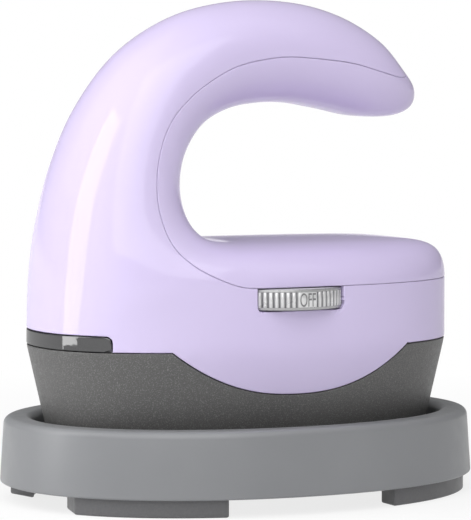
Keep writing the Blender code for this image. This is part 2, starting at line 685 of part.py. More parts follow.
def add_turned(bm, profile, segments=SCREW_STEPS):
    """Spin a profile of radius and height about the Z axis."""
    verts = [bm.verts.new((r, 0.0, z)) for r, z in profile]
    edges = [bm.edges.new(pair) for pair in zip(verts, verts[1:])]
    bmesh.ops.spin(bm, geom=[*verts, *edges], cent=(0.0, 0.0, 0.0), axis=(0, 0, 1),
                   angle=2 * math.pi, steps=segments, use_merge=True)
    bmesh.ops.remove_doubles(bm, verts=bm.verts, dist=MERGE)


def make_lugs(housing, cutters):
    """Four lugs in the housing that screw down onto the skirt's posts."""
    places = mirror_places(LUG_X, LUG_Y)
    top = LUG_Z + LUG_THICKNESS
    boolean(housing, wall_blocks("lugs", places, LUG_HALF_SIZE, LUG_Z, top, cutters), 'UNION')
    drill(housing, "lug_holes", places, HOLE_RADIUS, LUG_Z - OVERRUN, top + OVERRUN, cutters)


def board_post_places():
    x = BOARD_HALF_LENGTH - BOARD_POST_INSET
    low, high = BOARD_LOW_Y + BOARD_POST_INSET, BOARD_HIGH_Y - BOARD_POST_INSET
    return [(sx * x, y) for sx in (-1, 1) for y in (low, high)]


def heater_holes():
    return [(HEATER_HEEL_X - HEATER_BEND, side * HEATER_SPREAD) for side in (-1, 1)]


def sole_boss_places():
    rows = (SOLE_BOSS_TOE_X, SOLE_BOSS_TOE_Y), (SOLE_BOSS_HEEL_X, SOLE_BOSS_HEEL_Y)
    return [(x, side * y) for x, y in rows for side in (-1, 1)]


def stack_plate(name, z, thickness):
    """A plate across the skirt between soleplate and web, with its screw and heater holes."""
    outline = body_outline(z, SHELL + STACK_GAP)
    holes = [circle(place, HOLE_RADIUS) for place in sole_boss_places()]
    holes += [circle(place, HEATER_RADIUS + STACK_GAP) for place in heater_holes()]
    return plate(name, [outline, *holes], z, z + thickness)


def gland_frame():
    """Where the cord gland sits on the far wall, and the directions out of and along the wall."""
    x = GLAND_X
    y = wall_half_width(x)
    normal = Vector((math.copysign((abs(x) / HALF_LENGTH) ** (BODY_POWER - 1) / HALF_LENGTH, x),
                     (y / HALF_WIDTH) ** (BODY_POWER - 1) / HALF_WIDTH, 0.0)).normalized()
    return Vector((x, y, GLAND_Z)), normal, Vector((-normal.y, normal.x, 0.0))


def cord_clamp_places():
    point, normal, along = gland_frame()
    middle = point - normal * CORD_CLAMP_FROM_WALL
    return [tuple((middle + side * CORD_CLAMP_SPREAD * along).xy) for side in (-1, 1)]


def make_skirt_inside(skirt, cutters):
    """The web across the skirt and the posts that carry the housing, board, cord clamp and lamps."""
    outline = body_outline(WEB_Z, ROOT)
    holes = [circle(place, HOLE_RADIUS) for place in sole_boss_places()]
    holes += [circle(place, HEATER_RADIUS + STACK_GAP) for place in heater_holes()]
    web = hide_cutter(plate("web", [outline, *holes], WEB_Z, WEB_TOP_Z), cutters)
    posts = bmesh.new()
    root_z = WEB_TOP_Z - ROOT
    for place in board_post_places():
        add_cylinder(posts, place, BOARD_POST_RADIUS, root_z, BOARD_Z - CLEARANCE)
    for place in mirror_places(LUG_X, LUG_Y):
        add_cylinder(posts, place, BOARD_POST_RADIUS, root_z, LUG_Z - CLEARANCE)
    for place in cord_clamp_places():
        add_cylinder(posts, place, CORD_POST_RADIUS, root_z, CORD_CLAMP_Z - CLEARANCE)
    rib_x = LED_BOARD_FROM_HEEL - HALF_LENGTH + LED_BOARD_SIZE[0] + CLEARANCE
    add_box(posts, (rib_x, -LED_RIB_SIZE[1] / 2, root_z),
            (rib_x + LED_RIB_SIZE[0], LED_RIB_SIZE[1] / 2, LED_BOARD_Z + LED_BOARD_SIZE[2]))
    posts = hide_cutter(mesh_object("posts", posts), cutters)
    boolean(web, posts, 'UNION')
    boolean(skirt, web, 'UNION')
    bite = SCREW_BITE + CLEARANCE
    for name, places, top in (("board_post_holes", board_post_places(), BOARD_Z),
                              ("lug_post_holes", mirror_places(LUG_X, LUG_Y), LUG_Z),
                              ("cord_post_holes", cord_clamp_places(), CORD_CLAMP_Z)):
        drill(skirt, name, places, HOLE_RADIUS, top - bite, top + OVERRUN, cutters)


def make_soleplate(press, cutters, empty, aluminium):
    """The heated plate: a chamfered slab with four blind screw bosses and one for the sensor clamp."""
    bm = bmesh.new()
    gap = SHELL + SOLE_GAP + body_inset(SKIRT_LOW_Z)
    rings = []
    for inset, z in ((SOLE_CHAMFER, SOLE_LOW_Z), (0.0, SOLE_LOW_Z + SOLE_CHAMFER),
                     (0.0, SOLE_TOP_Z - SOLE_CHAMFER / 2), (SOLE_CHAMFER / 2, SOLE_TOP_Z)):
        half = (HALF_LENGTH - gap - inset, HALF_WIDTH - gap - inset)
        rings.append([bm.verts.new((x, y, z)) for x, y in plan_outline(*half, BODY_POWER)])
    bridge_rings(bm, rings)
    plate_piece = place_piece(mesh_object("soleplate", bm), press, aluminium, empty)
    bosses = bmesh.new()
    for place in sole_boss_places():
        add_cylinder(bosses, place, SOLE_BOSS_RADIUS, SOLE_TOP_Z - ROOT, BOSS_TOP_Z)
    add_cylinder(bosses, (SENSOR_X, 0.0), SENSOR_BOSS_RADIUS, SOLE_TOP_Z - ROOT, CLAMP_BAR_Z - CLEARANCE)
    boolean(plate_piece, hide_cutter(mesh_object("sole_bosses", bosses), cutters), 'UNION')
    bite = SCREW_BITE + CLEARANCE
    drill(plate_piece, "sole_holes", sole_boss_places(), HOLE_RADIUS, BOSS_TOP_Z - bite,
          BOSS_TOP_Z + OVERRUN, cutters)
    drill(plate_piece, "sensor_hole", [(SENSOR_X, 0.0)], HOLE_RADIUS, CLAMP_BAR_Z - bite,
          CLAMP_BAR_Z + OVERRUN, cutters)


def bridge_rings(bm, rings):
    """Quads between closed rings of equal count, and a flat cap on the first and the last."""
    for ring, following in zip(rings, rings[1:]):
        for i, vert in enumerate(ring):
            j = (i + 1) % len(ring)
            bm.faces.new((vert, ring[j], following[j], following[i]))
    bm.faces.new(rings[0])
    bm.faces.new(rings[-1])


def make_heater(press, empty, steel):
    """A tubular heater bent to a U along the plate, with both terminals turned up through the web."""
    top_z = WEB_TOP_Z + HEATER_TERMINAL_RISE
    leg = [(HEATER_HEEL_X - HEATER_BEND, HEATER_SPREAD, top_z)]
    for t in spread(math.pi / 2, BEND_STEPS):
        leg.append((HEATER_HEEL_X - HEATER_BEND * math.cos(t), HEATER_SPREAD,
                    HEATER_Z + HEATER_BEND * (1 - math.sin(t))))
    bend = [(HEATER_TOE_X + HEATER_SPREAD * math.sin(t), HEATER_SPREAD * math.cos(t), HEATER_Z)
            for t in spread(math.pi, HEATER_STEPS)]
    other = [(x, -y, z) for x, y, z in reversed(leg)]
    place_piece(tube("heating_element", leg + bend + other, HEATER_RADIUS), press, steel, empty)


def make_sensors(press, cutters, empty, steel, ceramic):
    """Thermal fuse and thermistor on the plate, held down by one sprung bar."""
    low = SOLE_TOP_Z + CLEARANCE + SENSOR_RADIUS
    for name, side, length in (("thermal_fuse", -1, SENSOR_LENGTH), ("thermistor", 1, THERMISTOR_LENGTH)):
        y = side * SENSOR_SPREAD
        route = [(SENSOR_X - length / 2, y, low), (SENSOR_X + length / 2, y, low)]
        place_piece(tube(name, route, SENSOR_RADIUS), press, ceramic, empty)
    reach = SENSOR_SPREAD + SENSOR_RADIUS
    bar = bmesh.new()
    add_box(bar, (SENSOR_X - CLAMP_BAR_WIDTH / 2, -reach, CLAMP_BAR_Z),
            (SENSOR_X + CLAMP_BAR_WIDTH / 2, reach, CLAMP_BAR_Z + CLAMP_BAR_THICKNESS))
    bar = place_piece(mesh_object("sensor_clamp", bar), press, steel, empty)
    drill(bar, "sensor_clamp_hole", [(SENSOR_X, 0.0)], HOLE_RADIUS, CLAMP_BAR_Z - OVERRUN,
          CLAMP_BAR_Z + OVERRUN, cutters)
    make_screws("sensor_screw", [(SENSOR_X, 0.0)], CLAMP_BAR_Z - SENSOR_SCREW_BITE,
                CLAMP_BAR_Z + CLAMP_BAR_THICKNESS, steel, press, empty)


def make_board(press, cutters, empty):
    """The control board on its posts, with switch body, relay, capacitor and the heater's leads."""
    green = make_material("board_green", (0.02, 0.16, 0.07), 0.45, 0.0)
    black = make_material("component_black", (0.03, 0.03, 0.03), 0.5, 0.0)
    silicone = make_material("lead_silicone", (0.75, 0.73, 0.68), 0.6, 0.0)
    x, low, high = BOARD_HALF_LENGTH, BOARD_LOW_Y, BOARD_HIGH_Y
    holes = [circle(place, HOLE_RADIUS) for place in board_post_places()]
    outline = [(-x, low), (x, low), (x, high), (-x, high)]
    board = plate("control_board", [outline, *holes], BOARD_Z, BOARD_TOP_Z)
    place_piece(board, press, green, empty)
    seat = BOARD_TOP_Z + CLEARANCE
    relay = bmesh.new()
    half = [size / 2 for size in RELAY_SIZE]
    add_box(relay, (RELAY_X - half[0], COMPONENT_Y - half[1], seat),
            (RELAY_X + half[0], COMPONENT_Y + half[1], seat + RELAY_SIZE[2]))
    place_piece(mesh_object("relay", relay), press, black, empty)
    capacitor = bmesh.new()
    add_cylinder(capacitor, (CAPACITOR_X, COMPONENT_Y), CAPACITOR_RADIUS, seat, seat + CAPACITOR_HEIGHT)
    place_piece(mesh_object("capacitor", capacitor), press, black, empty)
    switch = bmesh.new()
    half = SWITCH_SIZE / 2
    add_box(switch, (-half, WHEEL_Y - half, seat), (half, WHEEL_Y + half, SWITCH_TOP_Z))
    switch = place_piece(mesh_object("rotary_switch", switch), press, black, empty)
    drill(switch, "switch_bore", [(0.0, WHEEL_Y)], SHAFT_RADIUS + CLEARANCE, SHAFT_LOW_Z - CLEARANCE,
          SWITCH_TOP_Z + OVERRUN, cutters)
    for number, (place_x, place_y) in enumerate(heater_holes(), 1):
        side = math.copysign(1.0, place_y)
        start = Vector((place_x, place_y, WEB_TOP_Z + HEATER_TERMINAL_RISE + CLEARANCE))
        end = Vector((place_x + LEAD_SHIFT, place_y - side * LEAD_SHIFT, BOARD_Z - CLEARANCE))
        rise = Vector((0.0, 0.0, (end.z - start.z) / 3))
        straight = Vector((0.0, 0.0, LEAD_RADIUS))
        bend = bezier_route(start + straight, start + rise, end - rise, end - straight, BEND_STEPS)
        route = [tuple(start), *bend, tuple(end)]
        place_piece(tube(f"heater_lead_{number}", route, LEAD_RADIUS), press, silicone, empty)


def bezier_route(a, b, c, d, steps):
    """Points along one cubic curve."""
    route = []
    for t in spread(1.0, steps):
        s = 1 - t
        route.append(tuple(a * s ** 3 + b * 3 * t * s ** 2 + c * 3 * t * t * s + d * t ** 3))
    return route


def make_lamps(press, empty):
    """The lamp board behind the heel window and its row of status lamps."""
    green = make_material("lamp_board_green", (0.02, 0.16, 0.07), 0.45, 0.0)
    clear = make_material("lamp_clear", (0.8, 0.85, 0.8), 0.2, 0.0)
    back_x = LED_BOARD_FROM_HEEL - HALF_LENGTH
    board = bmesh.new()
    add_box(board, (back_x, -LED_BOARD_SIZE[1] / 2, LED_BOARD_Z),
            (back_x + LED_BOARD_SIZE[0], LED_BOARD_SIZE[1] / 2, LED_BOARD_Z + LED_BOARD_SIZE[2]))
    place_piece(mesh_object("lamp_board", board), press, green, empty)
    middle = (WINDOW_LOW_Z + WINDOW_TOP_Z) / 2
    for i in range(LED_COUNT):
        y = (i - (LED_COUNT - 1) / 2) * LED_SPACING
        route = [(back_x - CLEARANCE, y, middle), (back_x - LED_LENGTH, y, middle)]
        place_piece(tube(f"status_lamp_{i + 1}", route, LED_RADIUS), press, clear, empty)


def make_gland(housing, press, cutters, empty, rubber):
    """A rubber bush in the far wall where the cord comes in, with a flange on either side."""
    point, normal, along = gland_frame()
    turn = Matrix((along, Vector((0, 0, 1)), normal)).transposed().to_4x4()
    matrix = Matrix.Translation(point) @ turn
    inner = -SHELL - GLAND_INNER_GAP
    start = (GLAND_BORE, GLAND_FLANGE_THICKNESS + CLEARANCE)
    profile = [start, (GLAND_FLANGE, CLEARANCE + GLAND_FLANGE_THICKNESS * SCREW_CROWN_SHARE),
               (GLAND_FLANGE, CLEARANCE), (GLAND_NECK, CLEARANCE), (GLAND_NECK, inner),
               (GLAND_FLANGE, inner), (GLAND_FLANGE, inner - GLAND_FLANGE_THICKNESS),
               (GLAND_BORE, inner - GLAND_FLANGE_THICKNESS), start]
    bm = bmesh.new()
    add_turned(bm, profile, segments=ROUND_STEPS)
    bush = mesh_object("cord_gland", bm)
    bush.data.transform(matrix)
    place_piece(bush, press, rubber, empty)
    bore = bmesh.new()
    add_cylinder(bore, (0.0, 0.0), GLAND_NECK + CLEARANCE, -2 * OVERRUN, OVERRUN)
    bore = mesh_object("gland_bore", bore)
    bore.data.transform(matrix)
    boolean(housing, hide_cutter(bore, cutters), 'DIFFERENCE')


def make_cord_clamp(press, cutters, empty, plastic, steel):
    """A saddle that would hold the cord down between two posts, just inside the gland."""
    point, normal, along = gland_frame()
    arch = GLAND_BORE + CLEARANCE
    reach = CORD_CLAMP_SPREAD + CORD_POST_RADIUS
    rise = GLAND_Z - CORD_CLAMP_Z
    half_turn = spread(math.pi, 2 * BEND_STEPS)
    outside, brim = arch + CORD_CLAMP_THICKNESS, CORD_CLAMP_THICKNESS
    outer = [(-outside * math.cos(t), rise + outside * math.sin(t)) for t in half_turn]
    inner = [(arch * math.cos(t), rise + arch * math.sin(t)) for t in half_turn]
    outline = [(-reach, 0.0), (-reach, brim), (-outside, brim), *outer, (outside, brim),
               (reach, brim), (reach, 0.0), (arch, 0.0), *inner, (-arch, 0.0)]
    saddle = plate("cord_clamp", [outline], -CORD_CLAMP_DEPTH / 2, CORD_CLAMP_DEPTH / 2, upright=True)
    middle = point - normal * CORD_CLAMP_FROM_WALL
    turn = Matrix((along, -normal, Vector((0, 0, 1)))).transposed().to_4x4()
    saddle.data.transform(Matrix.Translation((middle.x, middle.y, CORD_CLAMP_Z)) @ turn)
    place_piece(saddle, press, plastic, empty)
    drill(saddle, "cord_clamp_holes", cord_clamp_places(), HOLE_RADIUS, CORD_CLAMP_Z - OVERRUN,
          CORD_CLAMP_Z + OVERRUN, cutters)
    make_screws("cord_clamp_screw", cord_clamp_places(), CORD_CLAMP_Z - SCREW_BITE,
                CORD_CLAMP_Z + CORD_CLAMP_THICKNESS, steel, press, empty)


def make_cover_inside(cover, cutters):
    """Snap hooks along the deck seam and the bearing boss over the wheel's shaft."""
    top_z = crown_z(0.0, WHEEL_Y) - ROOT
    low_z = WHEEL_TOP_Z + WHEEL_FLOAT
    boss = bmesh.new()
    add_cylinder(boss, (0.0, WHEEL_Y), BEARING_RADIUS, low_z, top_z)
    boolean(cover, hide_cutter(mesh_object("bearing_boss", boss), cutters), 'UNION')
    drill(cover, "bearing_bore", [(0.0, WHEEL_Y)], SHAFT_RADIUS + CLEARANCE, low_z - OVERRUN,
          SHAFT_TOP_Z + CLEARANCE, cutters)
    root_low, root_high = DECK_SEAM_Z + 2 * CLEARANCE, DECK_SEAM_Z + HOOK_ROOT_HEIGHT
    wall, free, back = (body_outline(DECK_SEAM_Z, inset) for inset in
                        (ROOT, SHELL + CLEARANCE, SHELL + CLEARANCE + HOOK_THICKNESS))
    hooks = hide_cutter(plate("hook_band", [free, back], DECK_SEAM_Z - HOOK_LENGTH, root_high), cutters)
    root = plate("hook_root", [wall, back], root_low, root_high)
    boolean(hooks, hide_cutter(root, cutters), 'UNION')
    blocks = bmesh.new()
    for x, side in ((HOOK_TOE_X, -1), (HOOK_TOE_X, 1), (HOOK_HEEL_X, 1)):
        near, far = sorted((0.0, side * HALF_WIDTH))
        add_box(blocks, (x - HOOK_HALF_WIDTH, near, DECK_SEAM_Z - HOOK_LENGTH - OVERRUN),
                (x + HOOK_HALF_WIDTH, far, root_high + OVERRUN))
    boolean(hooks, hide_cutter(mesh_object("hook_blocks", blocks), cutters), 'INTERSECT')
    boolean(cover, hooks, 'UNION')


def wheel_radius_at(angle):
    """Ribbed rim, with smooth pads where the settings are marked."""
    for pad in range(WHEEL_PADS):
        away = (angle - pad * WHEEL_PAD_STEP + math.pi) % (2 * math.pi) - math.pi
        if abs(away) < WHEEL_PAD_HALF_ANGLE:
            return WHEEL_RADIUS
    return WHEEL_RADIUS - WHEEL_RIB_DEPTH


def make_wheel(press, cutters, axis, silver, black):
    """The thumbwheel and the shaft that turns with it, both about one upright axis."""
    count = 2 * WHEEL_RIBS
    bm = bmesh.new()
    collar = [WHEEL_RADIUS - WHEEL_RIB_DEPTH / 2] * count
    ribs = [WHEEL_RADIUS if i % 2 else wheel_radius_at(2 * math.pi * i / count) for i in range(count)]
    heights = (0.0, WHEEL_COLLAR, WHEEL_COLLAR, WHEEL_THICKNESS - WHEEL_COLLAR,
               WHEEL_THICKNESS - WHEEL_COLLAR, WHEEL_THICKNESS)
    rings = []
    for height, radii in zip(heights, (collar, collar, ribs, ribs, collar, collar)):
        ring = []
        for i, radius in enumerate(radii):
            angle = 2 * math.pi * i / count
            ring.append(bm.verts.new((radius * math.sin(angle), -radius * math.cos(angle),
                                      WHEEL_LOW_Z + height)))
        rings.append(ring)
    bridge_rings(bm, rings)
    wheel = mesh_object("thumbwheel", bm)
    wheel.location = axis.location
    place_piece(wheel, press, silver, axis)
    bore = bmesh.new()
    low, high = WHEEL_LOW_Z - OVERRUN, WHEEL_TOP_Z + OVERRUN
    add_cylinder(bore, (0.0, WHEEL_Y), SHAFT_RADIUS + CLEARANCE, low, high)
    boolean(wheel, hide_cutter(mesh_object("wheel_bore", bore), cutters), 'DIFFERENCE')
    shaft = bmesh.new()
    add_cylinder(shaft, (0.0, 0.0), SHAFT_RADIUS, SHAFT_LOW_Z, SHAFT_TOP_Z)
    shaft = mesh_object("wheel_shaft", shaft)
    shaft.location = axis.location
    place_piece(shaft, press, black, axis)


def tray_outline(inset):
    return plan_outline(TRAY_HALF_LENGTH - inset, TRAY_HALF_WIDTH - inset, TRAY_POWER, TRAY_STEPS)


def tray_profile():
    """Section of the tray from under its floor round the hollow rim to the floor's top: inset, z."""
    inner = TRAY_DRAFT + RIM_WIDTH
    foot = inner + CAVITY_SLOPE
    crest, r = RIM_TOP_Z, RIM_ROUND
    outer_round = [(TRAY_DRAFT + r - r * math.cos(t), crest - r + r * math.sin(t))
                   for t in spread(math.pi / 2, ARC_STEPS)]
    inner_round = [(inner - r + r * math.sin(t), crest - r + r * math.cos(t))
                   for t in spread(math.pi / 2, ARC_STEPS)]
    return [(foot - TRAY_WALL, FOOT_HEIGHT), (inner - TRAY_WALL, crest - TRAY_WALL),
            (TRAY_DRAFT + TRAY_WALL, crest - TRAY_WALL), (TRAY_WALL, FOOT_HEIGHT), (0.0, FOOT_HEIGHT),
            *outer_round, *inner_round, (foot, FLOOR_TOP_Z + TRAY_WALL), (foot + TRAY_WALL, FLOOR_TOP_Z)]


def make_tray(press, cutters):
    """The footed tray: a hollow rim round a flat floor, with four feet under the corners."""
    grey = make_material("satin_grey", (0.30, 0.30, 0.31), 0.4, 0.0)
    silicone = make_material("pad_silicone", (0.08, 0.08, 0.08), 0.7, 0.0)
    bm = bmesh.new()
    rings = [[bm.verts.new((x, y, z)) for x, y in tray_outline(inset)] for inset, z in tray_profile()]
    bridge_rings(bm, rings)
    bmesh.ops.triangulate(bm, faces=[face for face in bm.faces if len(face.verts) == 4])
    tray = place_piece(mesh_object("safety_tray", bm), press, grey)
    band = [tray_outline(FOOT_INSET), tray_outline(FOOT_INSET + FOOT_WIDTH)]
    feet = hide_cutter(plate("feet", band, 0.0, FOOT_HEIGHT + FOOT_ROOT), cutters)
    corners = bmesh.new()
    for sx in (-1, 1):
        for sy in (-1, 1):
            xs = sorted((sx * FOOT_START_X, sx * FOOT_END_X))
            ys = sorted((sy * FOOT_START_Y, sy * (TRAY_HALF_WIDTH + OVERRUN)))
            add_box(corners, (xs[0], ys[0], -OVERRUN), (xs[1], ys[1], FOOT_HEIGHT + FOOT_ROOT + OVERRUN))
    boolean(feet, hide_cutter(mesh_object("foot_corners", corners), cutters), 'INTERSECT')
    boolean(tray, feet, 'UNION')
    pad = bmesh.new()
    add_cylinder(pad, (0.0, 0.0), PAD_RADIUS, PAD_LOW_Z, PAD_TOP_Z)
    place_copies(mesh_object("rest_pad", pad), mirror_places(PAD_X, PAD_Y), silicone, press)


def main():
    clear_scene()
    press = new_collection("mini_heat_press")
    cutters = new_collection("cutters")
    lift = bpy.data.objects.new("press_lift", None)
    axis = bpy.data.objects.new("wheel_axis", None)
    axis.location = (0.0, WHEEL_Y, 0.0)
    press.objects.link(lift)
    press.objects.link(axis)
    axis.parent = lift
    steel = make_material("zinc_steel", (0.62, 0.62, 0.6), 0.35, 1.0)
    aluminium = make_material("cast_aluminium", (0.55, 0.55, 0.56), 0.35, 1.0)
    rubber = make_material("black_rubber", (0.03, 0.03, 0.03), 0.8, 0.0)
    ceramic = make_material("ceramic_white", (0.8, 0.78, 0.74), 0.5, 0.0)
    mica = make_material("mica_sheet", (0.55, 0.42, 0.28), 0.6, 0.0)
    silver = make_material("silver_plastic", (0.68, 0.68, 0.70), 0.3, 0.3)
    plastic = make_material("black_plastic", (0.03, 0.03, 0.03), 0.45, 0.0)

    make_tray(press, cutters)
    housing, cover, skirt = make_shells(press, cutters, lift)
    make_lugs(housing, cutters)
    make_gland(housing, press, cutters, lift, rubber)
    make_cover_inside(cover, cutters)
    make_skirt_inside(skirt, cutters)
    make_soleplate(press, cutters, lift, aluminium)
    make_heater(press, lift, steel)
    make_sensors(press, cutters, lift, steel, ceramic)
    place_piece(stack_plate("insulation_sheet", INSULATION_Z, INSULATION_THICKNESS), press, mica, lift)
    place_piece(stack_plate("heat_shield", SHIELD_Z, SHIELD_THICKNESS), press, steel, lift)
    make_screws("sole_screw", sole_boss_places(), BOSS_TOP_Z - SCREW_BITE, WEB_TOP_Z, steel, press, lift)
    make_board(press, cutters, lift)
    make_screws("board_screw", board_post_places(), BOARD_Z - SCREW_BITE, BOARD_TOP_Z, steel, press, lift)
    make_screws("housing_screw", mirror_places(LUG_X, LUG_Y), LUG_Z - SCREW_BITE, LUG_Z + LUG_THICKNESS,
                steel, press, lift)
    make_lamps(press, lift)
    make_cord_clamp(press, cutters, lift, plastic, steel)
    make_wheel(press, cutters, axis, silver, plastic)


main()
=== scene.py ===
"""Looks of the mini handheld heat press: fine shells, tray, wheel and plate, finishes, light and camera.

Metres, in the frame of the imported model: +Z up, toe along +X, the thumbwheel side along -Y.
"""
import json
import math

import bmesh
import bpy
import numpy as np
from mathutils import Matrix, Vector

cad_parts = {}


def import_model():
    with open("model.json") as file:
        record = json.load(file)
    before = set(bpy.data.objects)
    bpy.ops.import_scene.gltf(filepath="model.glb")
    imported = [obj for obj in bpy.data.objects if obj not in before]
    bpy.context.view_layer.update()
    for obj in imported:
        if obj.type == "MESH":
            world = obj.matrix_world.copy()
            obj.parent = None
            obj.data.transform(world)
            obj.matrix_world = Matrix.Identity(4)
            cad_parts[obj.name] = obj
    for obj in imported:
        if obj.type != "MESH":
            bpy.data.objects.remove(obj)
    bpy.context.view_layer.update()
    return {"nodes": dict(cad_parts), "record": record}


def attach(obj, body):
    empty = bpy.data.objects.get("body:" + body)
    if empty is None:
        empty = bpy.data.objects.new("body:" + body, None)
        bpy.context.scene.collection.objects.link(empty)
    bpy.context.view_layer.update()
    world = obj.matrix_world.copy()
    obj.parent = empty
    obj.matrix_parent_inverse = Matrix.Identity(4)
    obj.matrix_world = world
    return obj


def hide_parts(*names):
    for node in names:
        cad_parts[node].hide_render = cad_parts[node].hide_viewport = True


# Sizes of the form, as constructed
GAP = 0.0003
TRAY_LENGTH, TRAY_WIDTH, TRAY_POWER = 0.140, 0.104, 2.1
TRAY_HEIGHT, TRAY_WALL, TRAY_DRAFT, TRAY_FLOOR = 0.0185, 0.0024, 0.0012, 0.0027
RIM_WIDTH, RIM_ROUND, CAVITY_SLOPE = 0.0078, 0.0022, 0.0018
FOOT_HEIGHT, FOOT_INSET, FOOT_WIDTH, FOOT_ROOT = 0.005, 0.002, 0.0075, 0.003
FOOT_START_X, FOOT_END_X, FOOT_START_Y = 0.0254, 0.061, 0.012
PAD_RADIUS, PAD_THICKNESS, PAD_X, PAD_Y = 0.005, 0.002, 0.030, 0.0135
BODY_LENGTH, BODY_WIDTH, BODY_POWER = 0.1246, 0.080, 2.28
SOLE_PROUD, SOLE_THICKNESS, SOLE_GAP = 0.0032, 0.006, 0.0006
SKIRT_HEIGHT, SKIRT_TAPER = 0.0305, math.radians(12.5)
HOUSING_RISE, DECK_CROWN, SHELL = 0.0173, 0.0114, 0.0022
CROWN_POWER_ALONG, CROWN_POWER_ACROSS = 11.0, 5.0
WAVE_DIP, WAVE_HALF_LENGTH, WAVE_POWER = 0.0125, 0.0365, 2.3
WINDOW_HEIGHT, WINDOW_REACH, WINDOW_ROUND = 0.0044, 0.0115, 0.0016
WHEEL_RADIUS, WHEEL_PROUD, WHEEL_THICKNESS, WHEEL_COLLAR = 0.0187, 0.0038, 0.0058, 0.0008
SLOT_HALF_WIDTH, SLOT_ROUND, WHEEL_FLOAT = 0.0133, 0.0012, 0.0008
GLAND_X, GLAND_DROP, GLAND_BORE = -0.040, 0.0053, 0.0028
GLAND_NECK, GLAND_FLANGE, GLAND_FLANGE_THICKNESS, GLAND_INNER_GAP = 0.0042, 0.0058, 0.0012, 0.0008

# Handle stations from the tip round the heel: outer x, outer z, inner x, inner z, half width, where the
# widest line lies, and how much of the section is the block's. Shares of half length, rise and half width.
HANDLE_RISE = 0.0795
HANDLE_POWER = 2.8           # of a section's inner half, a little squarer than an oval
HANDLE_STATION_SHARES = (
    (0.884, 0.655, 0.884, 0.655, 0.000, 0.500, 0.00),
    (0.870, 0.706, 0.860, 0.608, 0.163, 0.500, 0.00),
    (0.805, 0.765, 0.756, 0.581, 0.300, 0.500, 0.00),
    (0.677, 0.868, 0.587, 0.583, 0.400, 0.500, 0.00),
    (0.477, 0.951, 0.414, 0.610, 0.450, 0.500, 0.00),
    (0.238, 0.994, 0.231, 0.632, 0.475, 0.500, 0.00),
    (-0.050, 0.993, 0.050, 0.631, 0.488, 0.500, 0.00),
    (-0.328, 0.938, -0.112, 0.607, 0.513, 0.500, 0.00),
    (-0.580, 0.812, -0.254, 0.549, 0.550, 0.500, 0.00),
    (-0.770, 0.620, -0.351, 0.450, 0.600, 0.520, 0.00),
    (-0.888, 0.413, -0.384, 0.342, 0.650, 0.540, 0.00),
    (-0.957, 0.209, -0.361, 0.241, 0.713, 0.560, 0.15),
    (-0.988, 0.030, -0.299, 0.180, 0.800, 0.585, 0.37),
    (-0.999, -0.150, -0.194, 0.158, 0.890, 0.625, 0.66),
    (-1.000, -0.310, -0.060, 0.148, 0.960, 0.684, 1.00),
)
# Seam between housing and inner cover, from the deck round the heel to the top of the tip, same shares
COVER_SEAM_SHARES = (
    (-0.200, 0.000), (-0.280, 0.005), (-0.376, 0.031), (-0.480, 0.077), (-0.555, 0.142),
    (-0.590, 0.226), (-0.602, 0.322), (-0.581, 0.442), (-0.517, 0.561), (-0.408, 0.650),
    (-0.277, 0.718), (-0.147, 0.764), (0.008, 0.789), (0.162, 0.794), (0.424, 0.775),
    (0.592, 0.745), (0.717, 0.724), (0.790, 0.728), (0.828, 0.758), (0.842, 0.840),
)

# How finely the form is read
RINGS_PER_STATION = 8
OUTER_STEPS = 26
INNER_STEPS = 26
HEEL_RINGS = 8
BLOCK_RINGS = 72
SEAM_STEPS = 8
PLAN_STEPS = 160
TRAY_STEPS = 200
ROUND_STEPS = 8
TURN_STEPS = 64
FOOT_STEPS = 40
FOOT_ROUND_STEPS = 4
MARK_CURVE_STEPS = 6
MERGE = 0.000001
SNAP = 0.00002               # a point this close to a seam lies on it

# Fine detail
LIP = 0.00030                # moulded round along every parting line
LIP_DROP = 0.00010
COVER_SEAM_GAP = 0.00012     # drawn tight between housing and cover
LIP_TILT = math.radians(55)
RIBS = 72                    # round the thumbwheel
RIB_POINTS = 10
RIB_DEPTH = 0.00042
RIB_SHARPNESS = 4
PAD_HALF_ANGLE = math.radians(8.0)
PAD_STEP = math.radians(60.0)
WHEEL_MARKS = ("OFF", "1", "2", "3")
MARK_HEIGHT = 0.0038
MARK_NARROW = 0.52           # the letters are condensed
MARK_PROUD = 0.00008
EDGE_ROUND = 0.0006
SMALL_ROUND = EDGE_ROUND / 3
SHARP_ANGLE = math.radians(40)          # edges sharper than this stay crisp
WHEEL_SHARP_ANGLE = math.radians(50)
FOOT_SHARP_ANGLE = math.radians(35)
FOOT_CORNER_ANGLE = math.radians(25)    # edges sharper than this are rounded

# Heights and places that follow
FLOOR_TOP_Z = FOOT_HEIGHT + TRAY_FLOOR
RIM_TOP_Z = FOOT_HEIGHT + TRAY_HEIGHT
PAD_LOW_Z = FLOOR_TOP_Z + GAP
SOLE_LOW_Z = PAD_LOW_Z + PAD_THICKNESS + GAP
SKIRT_LOW_Z = SOLE_LOW_Z + SOLE_PROUD
SKIRT_TOP_Z = SKIRT_LOW_Z + SKIRT_HEIGHT
DECK_SEAM_Z = SKIRT_TOP_Z + HOUSING_RISE
WINDOW_TOP_Z = SKIRT_TOP_Z + WINDOW_HEIGHT
WHEEL_TOP_Z = DECK_SEAM_Z - GAP
WHEEL_LOW_Z = WHEEL_TOP_Z - WHEEL_THICKNESS
SLOT_LOW_Z = WHEEL_LOW_Z - WHEEL_FLOAT / 2
GLAND_Z = DECK_SEAM_Z - GLAND_DROP
HALF_LENGTH = BODY_LENGTH / 2
HALF_WIDTH = BODY_WIDTH / 2
WHEEL_Y = WHEEL_RADIUS - WHEEL_PROUD - HALF_WIDTH
HUB_RADIUS = WHEEL_RADIUS / 5
FAR = 1.0                    # farther than anything on the object

